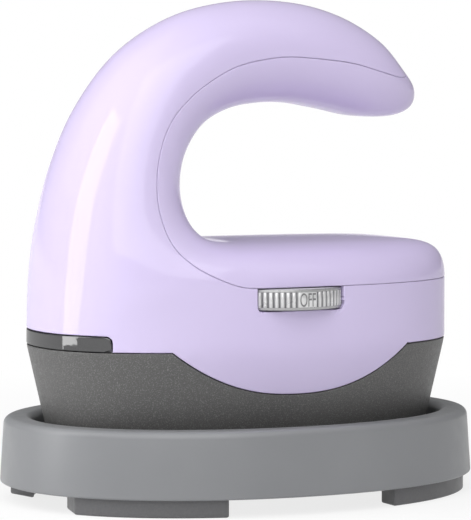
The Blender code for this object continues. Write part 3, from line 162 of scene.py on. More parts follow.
# Finishes: colours and roughness between two values, grains and relief in metres
CLOUD_STOPS = (0.3, 0.7)     # of the noise, where the first and the second colour are reached
GRAIN_STOPS = (0.35, 0.65)
FLAKE_STOPS = (0.35, 0.7)
SPECK_STOPS = (0.52, 0.74)
ROUGHNESS_STOPS = (0.3, 0.7)
SMOOTH, CLOUDY, FINE = 1.0, 2.0, 3.0    # detail of the noise
BLACK, WHITE = (0.0, 0.0, 0.0), (1.0, 1.0, 1.0)
MIX_SHARE, MIX_FIRST, MIX_SECOND, MIX_RESULT = 0, 6, 7, 2   # colour sockets of the mix node

LILAC_COLOURS = ((0.630, 0.553, 0.795), (0.650, 0.573, 0.810))
LILAC_CLOUD, LILAC_SHEEN, LILAC_WAVE, LILAC_RELIEF = 0.045, 0.012, 0.0022, 0.000001
LILAC_ROUGHNESS = (0.09, 0.13)
LILAC_COAT, LILAC_COAT_ROUGHNESS = 0.6, 0.045

SKIRT_COLOURS = ((0.090, 0.089, 0.088), (0.104, 0.103, 0.101))
SKIRT_SPECK_COLOUR = (0.20, 0.20, 0.20)
SKIRT_CLOUD, SKIRT_SPECK, SKIRT_SHEEN, SKIRT_GRAIN, SKIRT_RELIEF = 0.03, 0.00028, 0.0015, 0.0004, 0.000012
SKIRT_ROUGHNESS = (0.42, 0.56)

WINDOW_COLOURS = ((0.010, 0.010, 0.012), (0.016, 0.016, 0.018))
WINDOW_CLOUD, WINDOW_SHEEN, WINDOW_WAVE, WINDOW_RELIEF = 0.01, 0.004, 0.003, 0.000002
WINDOW_ROUGHNESS = (0.05, 0.10)
WINDOW_COAT, WINDOW_COAT_ROUGHNESS, WINDOW_COAT_INDEX = 0.65, 0.05, 2.4

TRAY_COLOURS = ((0.215, 0.220, 0.230), (0.240, 0.245, 0.255))
TRAY_CLOUD, TRAY_SHEEN, TRAY_GRAIN, TRAY_RELIEF = 0.04, 0.006, 0.0005, 0.000012
TRAY_ROUGHNESS = (0.34, 0.44)

SILVER_COLOURS = ((0.70, 0.70, 0.705), (0.79, 0.79, 0.795))
# Painted shade: the wheel's grooves are coloured dark, standing in for the shade that falls between the ribs
SILVER_GROOVE_SHADE = (0.16, 0.16, 0.17)
SILVER_FLAKE, SILVER_SHEEN, SILVER_GRAIN, SILVER_RELIEF = 0.00012, 0.002, 0.0005, 0.000005
SILVER_ROUGHNESS = (0.26, 0.36)
SILVER_METALLIC = 0.35
GROOVE_SHADE_SPAN = 2 * RIB_DEPTH  # in from the rim, over which the painted groove shade is laid
GROOVE_SHADE_STOPS = (0.36, 0.48, 0.52, 1.0)  # of that span: face, painted groove shade from and to, rib

PLAIN_SHEEN_GRAINS = 8       # width of the gloss's variation, in grains
PLAIN_SHEEN_VARY = 0.15
RELIEF, DEEP_RELIEF = 0.00001, 0.00002
EVEN, BRUSHED = (1.0, 1.0, 1.0), (0.08, 1.0, 1.0)
# Colour, its variation, roughness, grain, relief, metallic, stretch of the grain
PLAIN_FINISHES = {
    # Painted shade: the feet are coloured darker than the tray, standing in for the shadow under its rim
    "shadowed_foot_grey": ((0.12, 0.12, 0.125), 0.05, 0.45, 0.0006, RELIEF, 0.0, EVEN),
    "mark_grey": ((0.20, 0.20, 0.205), 0.06, 0.5, 0.0004, RELIEF, 0.0, EVEN),
    "black_plastic": ((0.03, 0.03, 0.03), 0.1, 0.45, 0.001, RELIEF, 0.0, EVEN),
    "component_black": ((0.03, 0.03, 0.032), 0.15, 0.5, 0.0006, RELIEF, 0.0, EVEN),
    "board_green": ((0.02, 0.16, 0.07), 0.12, 0.4, 0.002, RELIEF, 0.0, EVEN),
    "zinc_steel": ((0.62, 0.62, 0.60), 0.08, 0.35, 0.0008, RELIEF, 1.0, EVEN),
    "lamp_clear": ((0.80, 0.85, 0.80), 0.03, 0.12, 0.0008, RELIEF, 0.0, EVEN),
    "lead_silicone": ((0.75, 0.73, 0.68), 0.05, 0.6, 0.0005, RELIEF, 0.0, EVEN),
    "black_rubber": ((0.025, 0.025, 0.026), 0.15, 0.7, 0.0006, DEEP_RELIEF, 0.0, EVEN),
    "cast_aluminium": ((0.58, 0.58, 0.59), 0.05, 0.3, 0.0006, RELIEF, 1.0, BRUSHED),
    "ceramic_white": ((0.80, 0.78, 0.74), 0.04, 0.3, 0.001, RELIEF, 0.0, EVEN),
    "mica_sheet": ((0.55, 0.42, 0.28), 0.18, 0.45, 0.003, RELIEF, 0.0, EVEN),
    "pad_silicone": ((0.08, 0.08, 0.08), 0.1, 0.65, 0.0004, RELIEF, 0.0, EVEN),
}

# Camera
CAMERA_AZIMUTH = math.radians(-26.0)
CAMERA_ELEVATION = 0.0534
CAMERA_DISTANCE = 0.885
CAMERA_TARGET = (0.0, 0.0, 0.075)
CAMERA_LENS, CAMERA_SENSOR = 214.1, 36.0    # millimetres, the sensor's height
CAMERA_CLIP = (0.01, 100.0)
AIM_ASIDE = -0.00087         # from the target, per unit of distance
AIM_BELOW = 0.0095

# Surround and floor
WHITE_BAND = (math.radians(1.4), math.radians(3.0))     # white up to the first, faded by the second
UPPER_LIGHT = 0.24
FLOOR_RADIUS = 12.0
FLOOR_COLOUR, FLOOR_ROUGHNESS = (0.9, 0.9, 0.9), 0.9
SHADOW_REACH = 0.35          # beyond this the floor is as white as the surround
SHADOW_CORE = SHADOW_REACH / 4          # within this it is as dark as it gets
FLOOR_SHADE = 0.20

BODY_MIDDLE = (0.0, 0.0, 0.06)
# Soft boxes: azimuth and elevation from the target, distance, target, width and height, power
LIGHTS = (
    ("strip_box", -104.5, 23.0, 0.37, (-0.055, -0.015, 0.034), (0.150, 0.40), 0.68),
    ("side_soft", -118.0, 45.0, 1.1, BODY_MIDDLE, (1.2, 1.2), 2.6),
    ("front_soft", -30.0, 46.0, 0.85, BODY_MIDDLE, (1.0, 1.0), 6.4),
    ("top_soft", 20.0, 72.0, 1.0, BODY_MIDDLE, (0.9, 0.9), 1.3),
)


# The body's form

def spread(total, steps):
    """Evenly spaced values from zero up to and with a total."""
    return [total * i / steps for i in range(steps + 1)]


def half_width_at(x, half_length, half_width, power):
    share = min(1.0, abs(x) / half_length)
    return half_width * (1.0 - share ** power) ** (1.0 / power)


def plan_outline(half_length, half_width, power, count):
    points = []
    for i in range(count):
        turn = 2 * math.pi * (i + 0.5) / count
        c, s = math.cos(turn), math.sin(turn)
        points.append((math.copysign(half_length * abs(c) ** (2 / power), c),
                       math.copysign(half_width * abs(s) ** (2 / power), s)))
    return points


def body_inset(z):
    """How far the tapered skirt has drawn in at a height."""
    return max(0.0, SKIRT_TOP_Z - z) * math.tan(SKIRT_TAPER)


def wall_half_width(x, half_length=HALF_LENGTH):
    return half_width_at(x, half_length, HALF_WIDTH, BODY_POWER)


def deck_z(x):
    share = min(1.0, abs(x) / HALF_LENGTH)
    return DECK_SEAM_Z + DECK_CROWN * math.sqrt(1.0 - share ** CROWN_POWER_ALONG)


def smooth_rows(rows, steps):
    """Rows read from a Catmull-Rom curve through the given rows."""
    first = [2 * a - b for a, b in zip(rows[0], rows[1])]
    last = [2 * a - b for a, b in zip(rows[-1], rows[-2])]
    rows = [first, *rows, last]
    result = []
    for i in range(1, len(rows) - 2):
        for j in range(steps):
            t = j / steps
            quad = zip(rows[i - 1], rows[i], rows[i + 1], rows[i + 2])
            result.append([0.5 * (2 * b + (c - a) * t + (2 * a - 5 * b + 4 * c - d) * t ** 2
                                  + (3 * b - a - 3 * c + d) * t ** 3) for a, b, c, d in quad])
    return result + [list(rows[-2])]


def ring_places(outer, wide, inner):
    """Places along a half section, with a share from -1 at its outer line over 0 at its widest to 1."""
    places = []
    for j in range(-OUTER_STEPS, INNER_STEPS + 1):
        share = math.sin(math.pi / 2 * j / (OUTER_STEPS if j < 0 else INNER_STEPS))
        x, z = outer if share < 0 else inner
        reach = abs(share)
        places.append((wide[0] + reach * (x - wide[0]), wide[1] + reach * (z - wide[1]), share))
    return places


def block_ring(outer, inner_x):
    """Half a slanting section of the block, from its low edge up the wall and over the deck."""
    inner_z = max(deck_z(inner_x), DECK_SEAM_Z + GAP)
    seam_x = outer[0] + (DECK_SEAM_Z - outer[1]) / (inner_z - outer[1]) * (inner_x - outer[0])
    ring = []
    for x, z, share in ring_places(outer, (seam_x, DECK_SEAM_Z), (inner_x, inner_z)):
        rise = max(0.0, z - DECK_SEAM_Z) / max(deck_z(x) - DECK_SEAM_Z, GAP)
        full = max(0.0, 1 - rise * rise) ** (1 / CROWN_POWER_ACROSS) if share < 1 else 0.0
        ring.append((x, wall_half_width(x) * full, z))
    return ring


def handle_ring(row):
    """Half an oval section of the handle, which takes on the block's wall and crown near the deck."""
    outer_x, outer_z, inner_x, inner_z, width, middle, blend = row
    width, blend = max(0.0, width * HALF_WIDTH), min(1.0, max(0.0, blend))
    blend = blend * blend * (3 - 2 * blend)
    outer = (max(outer_x, -1.0) * HALF_LENGTH, DECK_SEAM_Z + outer_z * HANDLE_RISE)
    inner_x, inner_z = inner_x * HALF_LENGTH, DECK_SEAM_Z + inner_z * HANDLE_RISE
    inner = (inner_x, inner_z + blend * (deck_z(inner_x) - inner_z))
    wide = tuple(a + middle * (b - a) for a, b in zip(outer, inner))
    power = HANDLE_POWER + blend * (CROWN_POWER_ACROSS - HANDLE_POWER)
    ring = []
    for x, z, share in ring_places(outer, wide, inner):
        wall = wall_half_width(x, abs(outer[0]))
        oval = width * math.sqrt(1 - share * share)
        if share > 0:
            full = (1 - share * share) ** (1 / power)
            oval, wall = width * full, wall * full
        ring.append((x, oval + blend * (wall - oval), z))
    return ring


def tapered(point):
    x, y, z = point
    draw = body_inset(z)
    return (x * (1 - draw / HALF_LENGTH), y * (1 - draw / HALF_WIDTH), z)


def body_rings():
    """All half sections: tip, handle, heel, then fanning over the block to the toe."""
    rings = [handle_ring(row) for row in smooth_rows(HANDLE_STATION_SHARES, RINGS_PER_STATION)]
    heel_z = rings[-1][0][2]
    start = rings[-1][-1][0] / HALF_LENGTH
    total = HEEL_RINGS + BLOCK_RINGS
    for k in range(1, total + 1):
        inner_x = HALF_LENGTH * (start + (1 - start) * math.sin(math.pi / 2 * k / total))
        down, along = min(1.0, k / HEEL_RINGS), max(0.0, (k - HEEL_RINGS) / BLOCK_RINGS)
        outer = (-HALF_LENGTH * math.cos(math.pi * along), heel_z + (SKIRT_LOW_Z - heel_z) * down)
        rings.append(block_ring(outer, inner_x))
    return [[tapered(point) for point in ring] for ring in rings]


def body_surface():
    """The outside of the whole body as one surface, both halves, open underneath."""
    bm = bmesh.new()
    rings = body_rings()
    for side in (1, -1):
        rows = [[bm.verts.new((x, side * y, z)) for x, y, z in ring] for ring in rings]
        for row, following in zip(rows, rows[1:]):
            for a, b, c, d in zip(row, row[1:], following[1:], following):
                bm.faces.new((a, b, c, d))
    bmesh.ops.remove_doubles(bm, verts=bm.verts, dist=MERGE)
    bmesh.ops.dissolve_degenerate(bm, edges=bm.edges, dist=MERGE)
    bmesh.ops.triangulate(bm, faces=bm.faces)
    bmesh.ops.recalc_face_normals(bm, faces=bm.faces)
    return bm


# Depth of points inside each region of the body, from its seam inwards

def polyline_distance(points, path):
    """Least distance of points from an open path, both in the upright plane."""
    nearest = np.full(len(points), FAR)
    for start, end in zip(path, path[1:]):
        along = end - start
        share = np.clip((points - start) @ along / (along @ along), 0.0, 1.0)
        nearest = np.minimum(nearest, np.hypot(*(points - start - share[:, None] * along).T))
    return nearest


def inside_outline(points, outline):
    inside = np.zeros(len(points), bool)
    for (x0, z0), (x1, z1) in zip(outline, np.roll(outline, -1, axis=0)):
        if z0 != z1:
            crossing = (z0 > points[:, 1]) != (z1 > points[:, 1])
            inside ^= crossing & (points[:, 0] < (x1 - x0) * (points[:, 1] - z0) / (z1 - z0) + x0)
    return inside


def cover_depth(points):
    seam = [(x * HALF_LENGTH, DECK_SEAM_Z + z * HANDLE_RISE) for x, z in COVER_SEAM_SHARES]
    path = [(FAR, DECK_SEAM_Z), *smooth_rows(seam, SEAM_STEPS), (seam[-1][0], FAR)]
    upright = points[:, (0, 2)]
    distance = polyline_distance(upright, np.array(path))
    return np.where(inside_outline(upright, np.array([*path, (FAR, FAR)])), distance, -distance)


def skirt_depth(points):
    """Below the wavy seam. The drop is made square to the slope."""
    share = np.minimum(1.0, np.abs(points[:, 0]) / WAVE_HALF_LENGTH)
    slope = WAVE_DIP * WAVE_POWER * share ** (WAVE_POWER - 1) / WAVE_HALF_LENGTH * (share < 1)
    seam = SKIRT_TOP_Z - WAVE_DIP * (1 - share ** WAVE_POWER)
    return (seam - points[:, 2]) / np.sqrt(1 + slope ** 2)


def skirt_rise(points):
    """Above the skirt's open mouth."""
    return points[:, 2] - SKIRT_LOW_Z + GAP / 2


def rounded_depth(right, up, radius):
    """Depth inside the corner of two sides, given the depths behind each of them."""
    corner = radius - np.hypot(radius - right, radius - up)
    return np.where((right < radius) & (up < radius), corner, np.minimum(right, up))


def window_depth(points):
    right = WINDOW_REACH - HALF_LENGTH - points[:, 0]
    return np.minimum(rounded_depth(right, WINDOW_TOP_Z - points[:, 2], WINDOW_ROUND),
                      points[:, 2] - SKIRT_TOP_Z)


def slot_depth(points):
    """The thumbwheel's slot in the near wall."""
    side = SLOT_HALF_WIDTH - GAP / 2 - np.abs(points[:, 0])
    depth = rounded_depth(side, points[:, 2] - SLOT_LOW_Z - GAP / 2, SLOT_ROUND)
    depth = np.minimum(depth, DECK_SEAM_Z + SHELL - points[:, 2])
    return np.where(points[:, 1] < 0, depth, -FAR)


def gland_frame():
    """Where the cord gland sits on the far wall, and the directions out of and along the wall."""
    x = GLAND_X
    y = wall_half_width(x)
    normal = Vector((math.copysign((abs(x) / HALF_LENGTH) ** (BODY_POWER - 1) / HALF_LENGTH, x),
                     (y / HALF_WIDTH) ** (BODY_POWER - 1) / HALF_WIDTH, 0.0)).normalized()
    return Vector((x, y, GLAND_Z)), normal, Vector((-normal.y, normal.x, 0.0))


def gland_depth(points):
    """The round hole for the cord gland in the far wall."""
    point, _, along = gland_frame()
    across = (points - np.array(point)) @ np.array(along)
    depth = GLAND_NECK + GAP / 2 - np.hypot(across, points[:, 2] - GLAND_Z)
    return np.where(points[:, 1] > 0, depth, -FAR)


def outside(depth):
    return lambda points: -depth(points)


def tightened(depth):
    """A region that reaches closer to its seam than the gap between the solids."""
    return lambda points: depth(points) + (GAP - COVER_SEAM_GAP) / 2


# Moulded shells

def places_of(bm):
    return np.array([vert.co for vert in bm.verts])


def cut_along(bm, depth, level):
    """Cut the faces that a line of equal depth crosses, along that line."""
    values = depth(places_of(bm)) - level
    values[np.abs(values) < SNAP] = 0.0
    bm.verts.index_update()
    value = {vert: values[vert.index] for vert in bm.verts}
    for edge in list(bm.edges):
        a, b = edge.verts
        if value[a] * value[b] < 0:
            _, vert = bmesh.utils.edge_split(edge, a, value[a] / (value[a] - value[b]))
            value[vert] = 0.0
    for face in list(bm.faces):
        ends = [vert for vert in face.verts if value[vert] == 0.0]
        if len(ends) == 2 and len({value[vert] > 0 for vert in face.verts if value[vert]}) == 2:
            bmesh.utils.face_split(face, *ends)
    bmesh.ops.triangulate(bm, faces=[face for face in bm.faces if len(face.verts) > 3])


def shell_mesh(name, surface, depths):
    """A moulded wall, cut from the body's surface where every depth is positive, with rounded lips."""
    bm = surface.copy()
    for depth in depths:
        for level in (GAP / 2, GAP / 2 + LIP):
            cut_along(bm, depth, level)
    bm.normal_update()
    bm.verts.index_update()
    places = places_of(bm)
    normals = np.array([vert.normal for vert in bm.verts])

    def least(points):
        return np.min([depth(points) for depth in depths], axis=0)

    middles = np.array([face.calc_center_median() for face in bm.faces])
    corners = np.array([[vert.index for vert in face.verts] for face in bm.faces])
    corners = corners[least(middles) > GAP / 2]
    bm.free()
    used, corners = np.unique(corners, return_inverse=True)
    corners = corners.reshape(-1, 3)
    places, normals = places[used], normals[used]
    near = np.clip(1 - (least(places) - GAP / 2) / LIP, 0.0, 1.0)
    step = MERGE * np.eye(3)
    slope = np.stack([least(places + side) - least(places - side) for side in step], axis=1)
    slope -= np.sum(slope * normals, axis=1, keepdims=True) * normals
    away = -slope / np.maximum(np.linalg.norm(slope, axis=1, keepdims=True), MERGE * MERGE)
    outer = places - LIP_DROP * near[:, None] * normals
    inner = places - SHELL * normals
    tilt = LIP_TILT * near[:, None]
    lip_normals = np.cos(tilt) * normals + np.sin(tilt) * away
    count = len(places)
    sides = np.concatenate([corners[:, (0, 1)], corners[:, (1, 2)], corners[:, (2, 0)]])
    known = {tuple(side) for side in sides.tolist()}
    rim = [(a, b) for a, b in known if (b, a) not in known]
    faces = corners.tolist() + (corners[:, ::-1] + count).tolist()
    faces += [(b, a, a + count, b + count) for a, b in rim]
    mesh = bpy.data.meshes.new(name)
    mesh.from_pydata(np.concatenate([outer, inner]).tolist(), [], faces)
    mesh.shade_smooth()
    mesh.set_sharp_from_angle(angle=LIP_TILT / 2)
    loops = np.zeros((len(mesh.loops), 3))
    loops[:corners.size] = lip_normals[corners.ravel()]
    mesh.normals_split_custom_set(loops.tolist())
    return mesh


def add_piece(mesh, body, material, nodes=()):
    """A piece that rides on a body and may stand for solids of the frame."""
    obj = bpy.data.objects.new(mesh.name, mesh)
    bpy.context.scene.collection.objects.link(obj)
    mesh.materials.clear()
    mesh.materials.append(material)
    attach(obj, body)
    if nodes:
        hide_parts(*nodes)


def make_shells(finishes):
    surface = body_surface()
    pieces = (
        ("outer_housing", "housing_shell", "lilac_gloss",
         [tightened(outside(cover_depth)), outside(skirt_depth), outside(window_depth), outside(slot_depth),
          outside(gland_depth)]),
        ("deck_cover", "inner_cover", "lilac_gloss", [tightened(cover_depth)]),
        ("speckled_skirt", "base_skirt", "speckled_grey", [skirt_depth, skirt_rise]),
        ("heel_window", "indicator_window", "smoked_window", [window_depth]),
    )
    for name, node, slot, depths in pieces:
        add_piece(shell_mesh(name, surface, depths), "press", finishes[slot], [node])
    surface.free()


# Turned and ringed pieces

def ringed_mesh(name, rings, closed=False, sharp=SHARP_ANGLE):
    """Quads between closed rings of equal count, with flat caps or joined end to end."""
    bm = bmesh.new()
    rows = [[bm.verts.new(point) for point in ring] for ring in rings]
    for row, following in zip(rows, rows[1:] + rows[:1] if closed else rows[1:]):
        for i, vert in enumerate(row):
            j = (i + 1) % len(row)
            bm.faces.new((vert, row[j], following[j], following[i]))
    if not closed:
        bm.faces.new(rows[0])
        bm.faces.new(rows[-1])
    bmesh.ops.recalc_face_normals(bm, faces=bm.faces)
    mesh = bpy.data.meshes.new(name)
    bm.to_mesh(mesh)
    bm.free()
    mesh.shade_smooth()
    mesh.set_sharp_from_angle(angle=sharp)
    return mesh


def corner_round(corner, start, end, radius):
    """Points of a small round between two directions that leave a corner of a profile."""
    corner, start, end = Vector(corner), Vector(start).normalized(), Vector(end).normalized()
    half = start.angle(end) / 2
    reach = radius / math.tan(half)
    middle = corner + (start + end).normalized() * radius / math.sin(half)
    first, last = corner + start * reach - middle, corner + end * reach - middle
    return [tuple(middle + first.slerp(last, t, first).normalized() * radius)
            for t in spread(1.0, ROUND_STEPS)]


def rounded_profile(profile, radii, closed=False):
    """A profile with its corners rounded, each by its own radius, or kept where that is zero."""
    points = []
    for i, (corner, radius) in enumerate(zip(profile, radii)):
        before, after = profile[i - 1], profile[(i + 1) % len(profile)]
        ends = not closed and i in (0, len(profile) - 1)
        if radius and not ends:
            start = (before[0] - corner[0], before[1] - corner[1])
            end = (after[0] - corner[0], after[1] - corner[1])
            points += corner_round(corner, start, end, radius)
        else:
            points.append(corner)
    return points


def turned_mesh(name, profile, closed=False):
    """A profile of radius and height, turned about the Z axis."""
    turns = spread(2 * math.pi, TURN_STEPS)[:-1]
    rings = [[(r * math.cos(t), r * math.sin(t), z) for t in turns] for r, z in profile]
    return ringed_mesh(name, rings, closed)


def make_gland(finishes):
    """The rubber bush in the far wall, with its rounded outer flange."""
    point, normal, along = gland_frame()
    inner = -SHELL - GLAND_INNER_GAP
    low = inner - GLAND_FLANGE_THICKNESS
    top = GAP + GLAND_FLANGE_THICKNESS
    profile = [(GLAND_BORE, top), (GLAND_FLANGE, top), (GLAND_FLANGE, GAP), (GLAND_NECK, GAP),
               (GLAND_NECK, inner), (GLAND_FLANGE, inner), (GLAND_FLANGE, low), (GLAND_BORE, low)]
    half = GLAND_FLANGE_THICKNESS / 2
    profile = rounded_profile(profile, (half, half, SMALL_ROUND, 0, 0, 0, 0, 0), closed=True)
    mesh = turned_mesh("cord_bush", profile, closed=True)
    turn = Matrix((along, Vector((0, 0, 1)), normal)).transposed().to_4x4()
    mesh.transform(Matrix.Translation(point) @ turn)
    add_piece(mesh, "press", finishes["black_rubber"], ["cord_gland"])


def make_pads(finishes):
    round_edge = EDGE_ROUND / 2
    profile = rounded_profile([(MERGE, PAD_LOW_Z), (PAD_RADIUS, PAD_LOW_Z),
                               (PAD_RADIUS, PAD_LOW_Z + PAD_THICKNESS), (MERGE, PAD_LOW_Z + PAD_THICKNESS)],
                              (0, round_edge, round_edge, 0))
    places = [(sx * PAD_X, sy * PAD_Y) for sx in (-1, 1) for sy in (-1, 1)]
    for number, (x, y) in enumerate(places, 1):
        mesh = turned_mesh(f"silicone_pad_{number}", profile)
        mesh.transform(Matrix.Translation((x, y, 0.0)))
        add_piece(mesh, "tray", finishes["pad_silicone"], [f"rest_pad_{number}"])


def make_plate(finishes):
    """The heated plate, with a rounded working edge."""
    gap = SHELL + SOLE_GAP + body_inset(SKIRT_LOW_Z)
    top = SOLE_LOW_Z + SOLE_THICKNESS
    profile = rounded_profile([(HALF_WIDTH / 2, SOLE_LOW_Z), (0.0, SOLE_LOW_Z), (0.0, top),
                               (HALF_WIDTH / 2, top)], (0, 2 * EDGE_ROUND, EDGE_ROUND, 0))
    rings = [[(x, y, z) for x, y in plan_outline(HALF_LENGTH - gap - inset, HALF_WIDTH - gap - inset,
                                                 BODY_POWER, PLAN_STEPS)] for inset, z in profile]
    add_piece(ringed_mesh("heated_plate", rings), "press",
              finishes["cast_aluminium"], ["soleplate"])


def tray_outline(inset):
    return plan_outline(TRAY_LENGTH / 2 - inset, TRAY_WIDTH / 2 - inset, TRAY_POWER, TRAY_STEPS)


def make_tray(finishes):
    """The tray's hollow rim and floor, and its four feet."""
    inner = TRAY_DRAFT + RIM_WIDTH
    foot = inner + CAVITY_SLOPE
    crest = RIM_TOP_Z
    middle = TRAY_WIDTH / 3
    profile = [
        (middle, FOOT_HEIGHT), (foot - TRAY_WALL, FOOT_HEIGHT), (inner - TRAY_WALL, crest - TRAY_WALL),
        (TRAY_DRAFT + TRAY_WALL, crest - TRAY_WALL), (TRAY_WALL, FOOT_HEIGHT), (0.0, FOOT_HEIGHT),
        (TRAY_DRAFT, crest), (inner, crest), (foot, FLOOR_TOP_Z), (middle, FLOOR_TOP_Z)]
    radii = (0, EDGE_ROUND, EDGE_ROUND, EDGE_ROUND, EDGE_ROUND / 2, EDGE_ROUND, RIM_ROUND, RIM_ROUND,
             TRAY_WALL, 0)
    rings = [[(x, y, z) for x, y in tray_outline(inset)] for inset, z in rounded_profile(profile, radii)]
    add_piece(ringed_mesh("footed_tray", rings), "tray", finishes["satin_grey"],
              ["safety_tray"])
    for number, (sx, sy) in enumerate(((-1, -1), (-1, 1), (1, -1), (1, 1)), 1):
        # The feet's darker colour is painted shade from the tray's rim
        add_piece(foot_mesh(f"tray_foot_{number}", sx, sy), "tray", finishes["shadowed_foot_grey"])


def foot_arc(inset, sx, sy):
    """The tray's outline, drawn in, along one foot."""
    half_length, half_width = TRAY_LENGTH / 2 - inset, TRAY_WIDTH / 2 - inset
    end_x = min(FOOT_END_X, half_width_at(FOOT_START_Y, half_width, half_length, TRAY_POWER))
    xs = [FOOT_START_X + step for step in spread(end_x - FOOT_START_X, FOOT_STEPS)]
    return [(sx * x, sy * half_width_at(x, half_length, half_width, TRAY_POWER)) for x in xs]


def foot_mesh(name, sx, sy):
    """One foot under the rim, upright sides, with rounded corners and lower edge."""
    outline = foot_arc(FOOT_INSET, sx, sy) + foot_arc(FOOT_INSET + FOOT_WIDTH, sx, sy)[::-1]
    bm = bmesh.new()
    low = [bm.verts.new((x, y, 0.0)) for x, y in outline]
    top = [bm.verts.new((x, y, FOOT_HEIGHT + FOOT_ROOT)) for x, y in outline]
    for i, vert in enumerate(low):
        j = (i + 1) % len(low)
        bm.faces.new((vert, low[j], top[j], top[i]))
    bm.faces.new(low)
    bm.faces.new(top)
    bmesh.ops.recalc_face_normals(bm, faces=bm.faces)
    crisp = [edge for edge in bm.edges
             if edge.calc_face_angle(0.0) > FOOT_CORNER_ANGLE
             and min(vert.co.z for vert in edge.verts) < FOOT_HEIGHT]
    bmesh.ops.bevel(bm, geom=crisp, offset=EDGE_ROUND, segments=FOOT_ROUND_STEPS, affect='EDGES',
                    profile=0.5, clamp_overlap=True)
    mesh = bpy.data.meshes.new(name)
    bm.to_mesh(mesh)
    bm.free()
    mesh.shade_smooth()
    mesh.set_sharp_from_angle(angle=FOOT_SHARP_ANGLE)
    return mesh


# The thumbwheel

def on_pad(angle):
    turns = [(angle - pad * PAD_STEP + math.pi) % (2 * math.pi) - math.pi for pad in range(len(WHEEL_MARKS))]
    return min(abs(turn) for turn in turns) < PAD_HALF_ANGLE


def rib_radius(angle):
    if on_pad(angle):
        return WHEEL_RADIUS
    return WHEEL_RADIUS - RIB_DEPTH * abs(math.cos(RIBS / 2 * angle)) ** RIB_SHARPNESS


def wheel_ring(radii, z):
    points = []
    for i, radius in enumerate(radii):
        angle = 2 * math.pi * i / len(radii)
        points.append((radius * math.sin(angle), WHEEL_Y - radius * math.cos(angle), z))
    return points


def make_wheel(finishes):
    """A ribbed rim between two plain collars, flat pads with the settings, and a pierced web."""
    count = RIBS * RIB_POINTS
    ribs = [rib_radius(2 * math.pi * i / count) for i in range(count)]
    collar = WHEEL_RADIUS - RIB_DEPTH / 2
    low, top = WHEEL_LOW_Z, WHEEL_TOP_Z
    rib_low, rib_top = low + WHEEL_COLLAR, top - WHEEL_COLLAR
    half = [(HUB_RADIUS, low), (collar - SMALL_ROUND, low), (collar, low + SMALL_ROUND), (collar, rib_low)]
    rings = [wheel_ring([r] * count, z) for r, z in half]
    eased = [r - SMALL_ROUND / 2 for r in ribs]
    rings += [wheel_ring(eased, rib_low), wheel_ring(ribs, rib_low + SMALL_ROUND / 2),
              wheel_ring(ribs, rib_top - SMALL_ROUND / 2), wheel_ring(eased, rib_top)]
    rings += [wheel_ring([r] * count, low + top - z) for r, z in reversed(half)]
    add_piece(ringed_mesh("ribbed_wheel", rings, closed=True, sharp=WHEEL_SHARP_ANGLE), "wheel",
              finishes["silver_plastic"], ["thumbwheel"])
    for pad, words in enumerate(WHEEL_MARKS):
        mesh = mark_mesh(f"wheel_mark_{pad + 1}", words, pad * PAD_STEP)
        add_piece(mesh, "wheel", finishes["mark_grey"])


def mark_mesh(name, words, angle):
    """A setting's mark, laid round the rim over its pad."""
    curve = bpy.data.curves.new(name, 'FONT')
    curve.body = words
    curve.align_x, curve.align_y = 'CENTER', 'CENTER'
    curve.resolution_u = MARK_CURVE_STEPS
    holder = bpy.data.objects.new(name, curve)
    bpy.context.scene.collection.objects.link(holder)
    depsgraph = bpy.context.evaluated_depsgraph_get()
    mesh = bpy.data.meshes.new_from_object(holder.evaluated_get(depsgraph))
    bpy.data.objects.remove(holder, do_unlink=True)
    places = np.array([vert.co for vert in mesh.vertices])
    low, high = places.min(axis=0), places.max(axis=0)
    scale = MARK_HEIGHT / (high[1] - low[1])
    middle = (WHEEL_LOW_Z + WHEEL_TOP_Z) / 2
    radius = WHEEL_RADIUS + MARK_PROUD
    for vert in mesh.vertices:
        turn = angle + MARK_NARROW * scale * (vert.co.x - (low[0] + high[0]) / 2) / radius
        height = middle + scale * (vert.co.y - (low[1] + high[1]) / 2)
        vert.co = (radius * math.sin(turn), WHEEL_Y - radius * math.cos(turn), height)
    mesh.name = name
    return mesh


# Finishes

